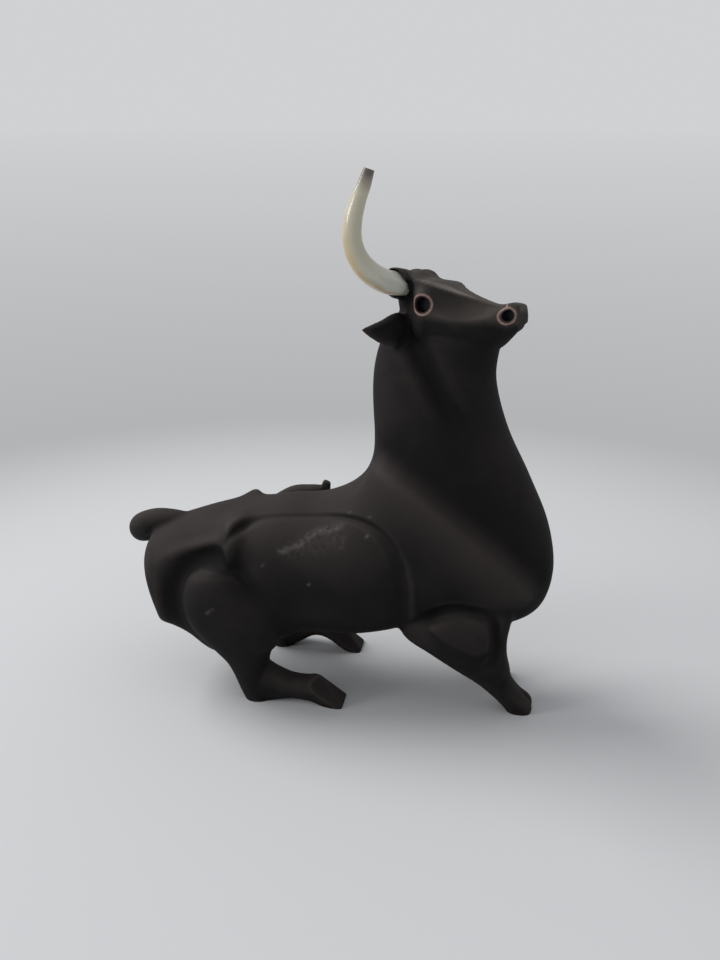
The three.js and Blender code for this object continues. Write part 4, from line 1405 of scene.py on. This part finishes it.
    def paler_slip(self, plain: Array) -> Array:
        """Works out where light is painted on the head's slip: a painted highlight along the brow's edge, and
        painted light on the temple, crown and cheeks, partly worn slip.

        Args:
            plain: places of the skin before the neck was turned.

        Returns:
            How much paler it is painted at each place, from 0 to 1.
        """
        x, y, z = plain.T
        middle, height, size = self.facet
        facet = self.facet_pale * bell(np.hypot(x - middle, (z - height) * 0.8), size)
        edge = self.edge_pale * smoothstep(self.brow.at(x, z - 0.1), *self.brow_shine)
        places, halves, heights = np.array(self.crown).T
        within = np.interp(x, places, halves) - np.abs(y)
        above = z - np.interp(x, places, heights)
        crown = self.crown_pale * smoothstep(within, -0.6, 0.6) * smoothstep(above, -2.4, -1.2) * (x > 24)
        cheek = self.cheek_pale * smoothstep(z, 181, 186) * smoothstep(x, 31, 36)
        return np.maximum(np.maximum(edge, facet) * (y < -2), crown) + cheek

    def at(self, place: Point, side: int) -> Array:
        """Returns a place on the turned head, on one of its sides."""
        x, lateral, z = place
        return self.body.turned(np.array([(x, side * lateral, z)], float))[0]

    def outwards(self, side: int, degrees: float = 0.0) -> Array:
        """Finds the way out of the head at a side.

        Args:
            side: -1 for the right side, 1 for the left one.
            degrees: how far it is tilted up.

        Returns:
            The way, one long.
        """
        x, _, z = self.socket_at
        out = self.at((x, 1, z), side) - self.at((x, 0, z), side)
        tilt = math.radians(degrees)
        out = out / np.linalg.norm(out) * math.cos(tilt) + np.array((0, 0, math.sin(tilt)))
        return out / np.linalg.norm(out)

    def collar(self, side: int) -> Form:
        """Spins the collar of clay that a horn stands in.

        Args:
            side: -1 for the right side, whose collar laps up the horn's root, 1 for the left one.

        Returns:
            The collar.
        """
        shape = bmesh.new()
        before = None
        for radius, back in self.collar_profile:
            vertex = shape.verts.new((radius * self.collar_radius, 0, -back * self.collar_reach))
            if before:
                shape.edges.new((before, vertex))
            before = vertex
        bmesh.ops.spin(
            shape, geom=[*shape.verts, *shape.edges], cent=(0, 0, 0), axis=(0, 0, 1), angle=2 * math.pi,
            steps=64, use_merge=True,
        )
        bmesh.ops.remove_doubles(shape, verts=shape.verts, dist=1e-4)
        turn = upright_to(self.outwards(side, self.socket_tilt))
        long_side = turn.inverted().to_3x3() @ Vector(self.lip_way)
        for vertex in shape.verts:
            share = (vertex.co.x * long_side.x + vertex.co.y * long_side.y) / self.collar_radius
            lip = max(self.least_lip, self.lip[0] + self.lip[1] * share) if side < 0 else self.bare_lip
            vertex.co.z += max(0.0, 1 + vertex.co.z / self.lip_depth) * lip
        shape.transform(Matrix.Translation(Vector(self.at(self.socket_at, side))) @ turn)
        return Form(shape)

    def holes(self, side: int) -> list[Form]:
        """Makes what is taken out of a side.

        Args:
            side: -1 for the right side, 1 for the left one.

        Returns:
            The two bars of the horn's stepped socket, the eye and the nostril.
        """
        mouth, axis = self.at(self.socket_at, side), self.outwards(side, self.socket_tilt)
        root = self.root_radius + self.root_clearance
        peg = self.peg_radius + self.peg_clearance
        made = [
            Form.bar(mouth, axis, (-self.mouth_depth, 14), (root, root + 0.7)),
            Form.bar(mouth, axis, (-self.mouth_depth - self.peg_length, 1), (peg, peg)),
        ]
        for place, radius in ((self.eye_at, self.eye_radius), (self.nostril_at, self.nostril_radius)):
            radii = tuple(radius * share for share in self.cup_taper)
            made.append(Form.bar(self.at(place, side), self.outwards(side), (-self.cup_depth, 3), radii))
        return made


@dataclass
class Ear:
    """A cupped leaf from its root on the cheek to its tip."""

    body: Body
    side: int
    stations: Rows = field(default_factory=lambda: [
        # lateral, x, height, half height, half thickness and depth of the cup
        (12, 26.4, 177.6, 6.8, 3.2, 0),
        (17, 24.2, 177.6, 7.7, 3, 1),
        (22, 22.4, 176.8, 7, 2.6, 2),
        (26, 20.6, 176, 5.5, 2.2, 2.1),
        (30, 18.2, 176.1, 3.3, 1.6, 1.2),
        (34.2, 15.7, 176.6, 0.6, 0.6, 0),
    ])
    turn: float = 20.4
    rings: int = 40
    sides: int = 40

    def form(self) -> Form:
        """Returns the ear."""
        turn = math.radians(self.turn)
        angle = np.linspace(0.0, 2 * math.pi, self.sides, endpoint=False)
        up, thick = np.sin(angle), np.cos(angle)
        rings = []
        for lateral, x, z, high, half, cup in Spline(self.stations).at(np.linspace(0.0, 1.0, self.rings)):
            bend = cup * (up * up - 0.5) + half * thick
            points = np.stack([
                x + bend * math.cos(turn), self.side * (lateral + bend * math.sin(turn)), z + high * up,
            ], axis=1)
            rings.append(self.body.turned(points))
        return Form.lofted(np.array(rings))


@dataclass
class Tail:
    """The tail, looped back from the rump, and its tuft lying on the left flank."""

    line: Rows = field(default_factory=lambda: [
        (-82, 0, 79), (-91, 0, 79.6), (-100, 0.4, 79.2), (-107.8, 1.8, 75.8), (-109.6, 6.4, 71.4),
        (-105, 15, 69.2), (-96.4, 24.6, 68.4), (-86, 32, 69), (-75, 36.4, 70.8), (-63, 38.4, 73.6),
        (-50, 36.8, 77),
    ])
    radii: tuple[float, ...] = (4.8, 5.6, 5.9, 6.1, 6, 5.4, 4.8, 4.4, 4, 3.6, 3.2)
    leaf: Rows = field(default_factory=lambda: [
        (-53, 37.2, 76.2), (-46, 34.8, 79.8), (-38, 32.8, 84), (-30, 31.6, 86), (-25, 31, 87.2),
        (-22, 31, 88.4),
    ])
    leaf_radii: tuple[float, ...] = (3.2, 4.4, 5, 4.4, 3.6, 2.4)
    hook: tuple[Point, ...] = ((-25, 30.6, 86), (-20, 30.6, 86.6), (-19.6, 30.6, 92.6), (-23.4, 30.6, 93.8))
    hook_half: float = 2.2
    rings_and_sides: tuple[int, int] = (110, 36)
    leaf_rings_and_sides: tuple[int, int] = (60, 32)

    def form(self) -> Form:
        """Returns the tail."""
        return Form.lofted(along_curve(self.line, list(self.radii), *self.rings_and_sides))

    def tuft(self) -> Form:
        """Returns the tuft: a leaf with a square hook turned up at its end."""
        leaf = Form.lofted(along_curve(self.leaf, list(self.leaf_radii), *self.leaf_rings_and_sides))
        shape = bmesh.new()
        face = bmesh.ops.contextual_create(shape, geom=[
            shape.verts.new((x, y - self.hook_half, z)) for x, y, z in self.hook
        ])["faces"][0]
        grown = bmesh.ops.extrude_face_region(shape, geom=[face])["geom"]
        moved = [part for part in grown if isinstance(part, bmesh.types.BMVert)]
        bmesh.ops.translate(shape, verts=moved, vec=(0, 2 * self.hook_half, 0))
        return Form.joined([leaf, Form(shape)])


@dataclass
class Horn:
    """The porcelain horn with its root and its peg, seated in the head's right socket."""

    head: Head
    side: int = -1
    seam: float = 0.3
    rings: int = 120
    sides: int = 64
    line: Rows = field(default_factory=lambda: [
        # outwards, x and upwards from the socket's middle
        (-3, 22.25, -0.2), (0, 22.25, 0), (6.5, 20.9, 0.6), (17, 19.2, 4.1), (24, 17.7, 9.6),
        (27.5, 17, 16.6), (28.5, 17.9, 24.4), (28, 19.9, 32.2), (27, 22, 38), (25.5, 23.5, 44.3),
    ])
    radii: tuple[float, ...] = (5.2, 5.2, 5.1, 4.8, 4.3, 4.0, 3.75, 3.3, 2.8, 2.2)

    def forms(self) -> tuple[Form, Form, Form]:
        """Returns the horn's sweep, its root and its peg."""
        _, lateral, height = self.head.socket_at
        points = [self.head.at((x, lateral + out, height + up), self.side) for out, x, up in self.line]
        sweep = Form.lofted(along_curve(points, list(self.radii), self.rings, self.sides))
        mouth = self.head.at(self.head.socket_at, self.side)
        axis = self.head.outwards(self.side, self.head.socket_tilt)
        depth, root, peg = self.head.mouth_depth, self.head.root_radius, self.head.peg_radius
        base = Form.bar(mouth, axis, (self.seam - depth, -1), (root, root))
        pin = Form.bar(mouth, axis, (self.seam - depth - self.head.peg_length, 0), (peg, peg))
        return sweep, base, pin


SCUFFS = (
    # each a line on the right flank, how wide it is and how strong
    ([(-31.1, 76.6), (-27, 77.9), (-22.8, 80.1), (-20.1, 83.1), (-17.3, 86.2), (-11.4, 88), (-5.6, 89.8)],
     1.9, 0.62),
    ([(-26, 78), (-16, 81), (-8, 85)], 6.0, 0.16),
    ([(-3.6, 80), (-3.2, 85)], 1.2, 0.3),
    ([(7.6, 86.2), (8, 86.6)], 0.7, 0.8),
    ([(-18.4, 61.2), (-18, 61.6)], 0.6, 0.8),
    ([(-39.8, 69), (-39.4, 69.4)], 0.6, 0.7),
    ([(-1.8, 96.8), (-1, 97)], 0.6, 0.6),
    ([(8.1, 95.5), (8.9, 95.7)], 0.6, 0.6),
    ([(-65, 44.2), (-63.7, 44.9), (-62.4, 46)], 0.7, 0.7),
)


class Cover:
    """What the castings take over from the one skin: its worn slip with its painted light and shade, and its
    shading across the seams.
    """

    def __init__(self, skin: Form, looks: dict[str, Array], finishes: list[bpy.types.Material]) -> None:
        """Keeps the skin's places and normals.

        Args:
            skin: the one skin.
            looks: a number for each of its vertices by the attribute's name.
            finishes: the castings' materials.
        """
        self.looks = looks
        self.finishes = finishes
        self.shading = skin.normals()
        places = skin.points()
        self.tree = KDTree(len(places))
        for number, place in enumerate(places):
            self.tree.insert(place, number)
        self.tree.balance()

    def spread_over(self, name: str, form: Form) -> bpy.types.Object:
        """Makes a casting's object in the row's frame.

        Args:
            name: the CAD node that it stands for.
            form: its shape.

        Returns:
            The object.
        """
        mesh = form.mesh
        found = np.array([self.tree.find(point)[1] for point in form.points()])
        for look, amount in self.looks.items():
            values = amount[found].astype(np.float32)
            mesh.attributes.new(look, "FLOAT", "POINT").data.foreach_set("value", values)
        slots = read(mesh.polygons, "material_index", np.int32)
        mesh.polygons.foreach_set("use_smooth", np.ones(len(mesh.polygons), bool))
        mesh.materials.clear()
        for material in self.finishes:
            mesh.materials.append(material)
        mesh.polygons.foreach_set("material_index", slots)
        corners = read(mesh.polygons, "loop_total", np.int32)
        own = np.repeat(read(mesh.polygons, "normal", np.float32, 3), corners, axis=0)
        taken = self.shading[found][read(mesh.loops, "vertex_index", np.int32)]
        inner = np.repeat(slots > 0, corners)[:, None]
        mesh.normals_split_custom_set(np.where(inner, own, taken))
        to_row(mesh)
        mesh.name = name + "_clay"
        piece = in_scene(name + "_clay", mesh)
        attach(piece, "figure")
        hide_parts(name)
        return piece


@dataclass
class Figure:
    """The clay animal: one sculpted skin, parted at its luted seams into the castings."""

    body: Body = field(default_factory=Body)
    voxel: float = 0.7
    grow: float = 1.3
    elbow_grow: float = 3.2
    fillet: float = 3.2
    neck_seam: tuple[Point, Point] = ((17, 0, 121.5), (0.68, 0, 0.73))
    head_seam: tuple[Point, Point] = ((32, 0, 173), (0.05, 0, 1))
    tuft_seam: tuple[Point, Point] = ((-51, 37, 76.8), (0.94, -0.1, 0.3))
    vent_at: Point = (-12.0, 0.0, 60.0)
    vent_radius: float = 4.5
    scuff_lines: tuple[tuple[Rows, float, float], ...] = SCUFFS
    eye_ring: float = 4.25
    nostril_ring: float = 3.9
    ring_half: float = 0.62
    tick_half: float = 0.6
    melt_rounds: int = 16
    melt: float = 0.6
    crisp_edge: float = 1.1
    crisp_above: tuple[float, float] = (186.0, 190.0)
    crisp_from: tuple[float, float] = (29.0, 34.0)
    barrel_end: tuple[float, float] = (-53.5, 72.5)
    barrel_end_size: float = 6.5
    plug_voxel: float = 1.2
    # How much painted shade goes in the elbows' grooves and painted light on their domes.
    elbow_painted_shading: tuple[float, float] = (1.4, 0.3)
    wear_rounds: int = 30

    def __post_init__(self) -> None:
        """Makes the parts that it is modelled from."""
        self.trunk = Trunk(self.body)
        self.head = Head(self.body)
        self.forelegs = {"foreleg_right": Foreleg(-1), "foreleg_left": Foreleg(1, 11.0)}
        self.hind_legs = {"hind_leg_right": HindLeg(-1), "hind_leg_left": HindLeg(1, 13.0, 5.0)}
        self.limbs = {
            **{name: leg.form() for name, leg in (self.forelegs | self.hind_legs).items()},
            "ear_right": Ear(self.body, -1).form(),
            "ear_left": Ear(self.body, 1).form(),
            "tail": Tail().form(),
            "tail_tuft": Tail().tuft(),
        }
        self.finishes = self.dress()

    def dress(self) -> list[bpy.types.Material]:
        """Returns the slip, the bare clay and the cups' slip."""
        head = self.head
        rings = [(in_row(head.at(spot, -1)), 0.0, self.tick_half * METRES) for spot in head.tick]
        cups = []
        for place, radius in ((head.eye_at, self.eye_ring), (head.nostril_at, self.nostril_ring)):
            for side in (-1, 1):
                centre = head.at(place, side)
                rings.append((in_row(centre), radius * METRES, self.ring_half * METRES))
                cups.append(in_row(centre - head.cup_depth * head.outwards(side)))
        slip, lining = DarkSlip(rings=tuple(rings)), CupSlip(centres=tuple(cups))
        return [slip.material(), RawClay().material(), lining.material()]

    def sculpt(self) -> Form:
        """Returns the whole skin, with its forms run into each other."""
        core = Form.joined([self.trunk.form(), self.head.form()])
        skin = Form.joined([core, *self.limbs.values()]).remeshed(self.voxel)
        crisp = self.crispness(self.body.unturned(skin.points()))
        skin.smoothed(3, 0.5 - 0.35 * crisp)
        skin.smoothed(self.melt_rounds, self.melt * self.junctions(skin, core) * (1 - 0.8 * crisp))
        plain = self.body.unturned(skin.points())
        skin.swell(self.trunk.carve(plain) + self.head.carve(plain) + self.elbows(skin))
        x, h = self.body.drawn(plain)
        off = np.hypot(x - self.barrel_end[0], h - self.barrel_end[1])
        ends = bell(off, self.barrel_end_size) * (np.abs(plain[:, 1]) > 12)
        skin.smoothed(self.melt_rounds, self.melt * ends)
        skin.smoothed(2, 0.3)
        skin.sharpened(3, self.crisp_edge * crisp)
        for leg in self.hind_legs.values():
            leg.pare(skin)
        return self.halved(skin, ((0, 0, 0), (0, 0, 1)))[0]

    def elbows(self, skin: Form) -> Array:
        """Returns how far the elbows of both forelegs stand out at each vertex of the skin."""
        points, normals = skin.points(), skin.normals()
        return sum(leg.carve(self.body, points, normals) for leg in self.forelegs.values())

    def crispness(self, plain: Array) -> Array:
        """Returns where the clay was cut crisply, from 0 to 1: the planes of the head before the horns."""
        x, _, z = plain.T
        return smoothstep(z, *self.crisp_above) * smoothstep(x, *self.crisp_from)

    def junctions(self, skin: Form, core: Form) -> Array:
        """Finds where the limbs meet the rest.

        Args:
            skin: the skin round everything.
            core: the trunk and the head without the limbs.

        Returns:
            How near each of the skin's vertices is to such a place, from 0 to 1.
        """
        points = skin.points()
        weight = np.zeros(len(points))
        for limb in self.limbs.values():
            corners = limb.points()
            low, high = corners.min(axis=0) - self.fillet, corners.max(axis=0) + self.fillet
            picked = np.flatnonzero(np.all((points > low) & (points < high), axis=1))
            apart = limb.near(points[picked])
            close = picked[apart < self.fillet]
            far = np.maximum(apart[apart < self.fillet], core.near(points[close]))
            weight[close] = np.maximum(weight[close], 1 - np.clip(far / self.fillet, 0, 1))
        return weight

    @staticmethod
    def halved(form: Form, seam: tuple[Point, Point]) -> tuple[Form, Form]:
        """Parts a form at a plane.

        Args:
            form: what is parted.
            seam: a point of the plane, and its way up.

        Returns:
            The part above the plane and the one below it, each closed by a flat face.
        """
        made = []
        for lower in (False, True):
            shape = bmesh.new()
            shape.from_mesh(form.mesh)
            cut = bmesh.ops.bisect_plane(
                shape, geom=[*shape.verts, *shape.edges, *shape.faces], dist=1e-5, plane_co=seam[0],
                plane_no=Vector(seam[1]).normalized(), clear_outer=lower, clear_inner=not lower,
            )
            edges = [part for part in cut["geom_cut"] if isinstance(part, bmesh.types.BMEdge)]
            for face in bmesh.ops.edgeloop_fill(shape, edges=edges)["faces"]:
                face.material_index = Finish.CLAY
                face.smooth = False
            made.append(Form(shape))
        return made[0], made[1]

    def plug(self, name: str) -> Form:
        """Returns a limb's form, a little larger, as the tool that parts it from the rest."""
        grow = self.elbow_grow if name in self.forelegs else self.grow
        return self.marked(self.limbs[name].remeshed(self.plug_voxel).swell(grow))

    @staticmethod
    def slotted(form: Form) -> Form:
        """Gives a form places for the finishes."""
        while len(form.mesh.materials) < len(Finish):
            form.mesh.materials.append(None)
        return form

    @staticmethod
    def marked(tool: Form, finish: Finish = Finish.CLAY) -> Form:
        """Gives a tool a finish, which the faces that it cuts take over.

        Args:
            tool: the form that will cut.
            finish: the finish.

        Returns:
            The tool.
        """
        faces = Figure.slotted(tool).mesh.polygons
        faces.foreach_set("material_index", np.full(len(faces), finish, np.int32))
        return tool

    def castings(self, skin: Form) -> dict[str, Form]:
        """Parts the skin at its luted seams.

        Args:
            skin: the one skin.

        Returns:
            Every casting by the name of its CAD node.
        """
        for material in self.finishes:
            skin.mesh.materials.append(material)
        parts = {}
        rest = skin
        for name in ("ear_right", "ear_left", "tail_tuft", "tail", *self.forelegs, *self.hind_legs):
            tool = self.plug(name)
            if name == "tail_tuft":
                tool = self.marked(self.halved(tool, self.tuft_seam)[0])
            parts[name] = rest.cut("INTERSECT", tool)
            rest = rest.cut("DIFFERENCE", tool)
            LOG.info("%s: parted, %d faces", name, len(parts[name].mesh.polygons))
        upper, torso = map(self.slotted, self.halved(rest, self.neck_seam))
        head, neck = map(self.slotted, self.halved(upper, self.head_seam))
        for side, mouth in ((-1, Finish.SLIP), (1, Finish.CLAY)):
            finishes = (mouth, Finish.CLAY, Finish.LINED, Finish.LINED)
            for tool, finish in zip(self.head.holes(side), finishes):
                head = head.cut("DIFFERENCE", self.marked(tool, finish))
        radii = (self.vent_radius, self.vent_radius)
        vent = Form.bar(np.array(self.vent_at), np.array((0, 0, -1)), (0, self.vent_at[2]), radii)
        parts["torso_casting"] = torso.cut("DIFFERENCE", self.marked(vent))
        return parts | {"neck_casting": neck, "head_casting": head}

    def looks(self, skin: Form) -> dict[str, Array]:
        """Works out how the slip has been worn, and where light and shade are painted on it, for the
        attributes that its material reads.

        Args:
            skin: the one skin.

        Returns:
            A number for each vertex by the attribute's name.
        """
        plain = self.body.unturned(skin.points())
        elbows = self.elbows(skin)
        # The elbows' grooves get painted shade and their domes painted light.
        hollow, raised = self.elbow_painted_shading
        return {
            "wear": self.wear(skin),
            "scuff": self.scuffs(skin.points()),
            "pale": self.head.paler_slip(plain),
            "tone": self.trunk.tone(plain) + np.where(elbows < 0, hollow * elbows, raised * elbows),
        }

    def wear(self, skin: Form) -> Array:
        """Measures how far each vertex stands over its surroundings.

        Args:
            skin: the one skin, which is left as it was.

        Returns:
            The heights, negative in hollows.
        """
        held, normals = skin.points(), skin.normals()
        away = held - skin.smoothed(self.wear_rounds).points()
        skin.move(held)
        return np.sum(away * normals, axis=1)

    def scuffs(self, points: Array) -> Array:
        """Works out where the slip of the right flank is scuffed.

        Args:
            points: places of the skin.

        Returns:
            How strongly, from 0 to 1.
        """
        x, h = self.body.drawn(points)
        total = np.zeros(len(points))
        for line, width, strength in self.scuff_lines:
            total = np.maximum(total, strength * bell(beside(x, h, line)[0], width))
        return total * (points[:, 1] < -8)

    def build(self) -> None:
        """Makes every casting's object."""
        skin = self.sculpt()
        cover = Cover(skin, self.looks(skin), self.finishes)
        for name, form in self.castings(skin).items():
            piece = cover.spread_over(name, form)
            LOG.info("%s: %d faces", piece.name, len(piece.data.polygons))


SHARP_FROM = 35.0  # degrees


def fit_horn(horn: Horn, glaze: bpy.types.Material) -> None:
    """Makes the horn's object from its three forms.

    Args:
        horn: the horn.
        glaze: its finish.
    """
    sweep, base, pin = horn.forms()
    mesh = sweep.cut("UNION", base).cut("UNION", pin).mesh
    mesh.materials.clear()
    mesh.materials.append(glaze)
    mesh.polygons.foreach_set("material_index", np.zeros(len(mesh.polygons), np.int32))
    to_row(mesh)
    mesh.shade_smooth()
    mesh.set_sharp_from_angle(angle=math.radians(SHARP_FROM))
    piece = in_scene("horn_right_porcelain", mesh)
    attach(piece, "horn")
    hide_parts("horn_right")
    LOG.info("%s: %d faces", piece.name, len(mesh.polygons))


def main() -> None:
    """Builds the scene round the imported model."""
    logging.basicConfig(level=logging.INFO, format="%(message)s")
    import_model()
    Studio().build()
    figure = Figure()
    figure.build()
    fit_horn(Horn(figure.head), HornGlaze().material())


if __name__ == "__main__":
    main()
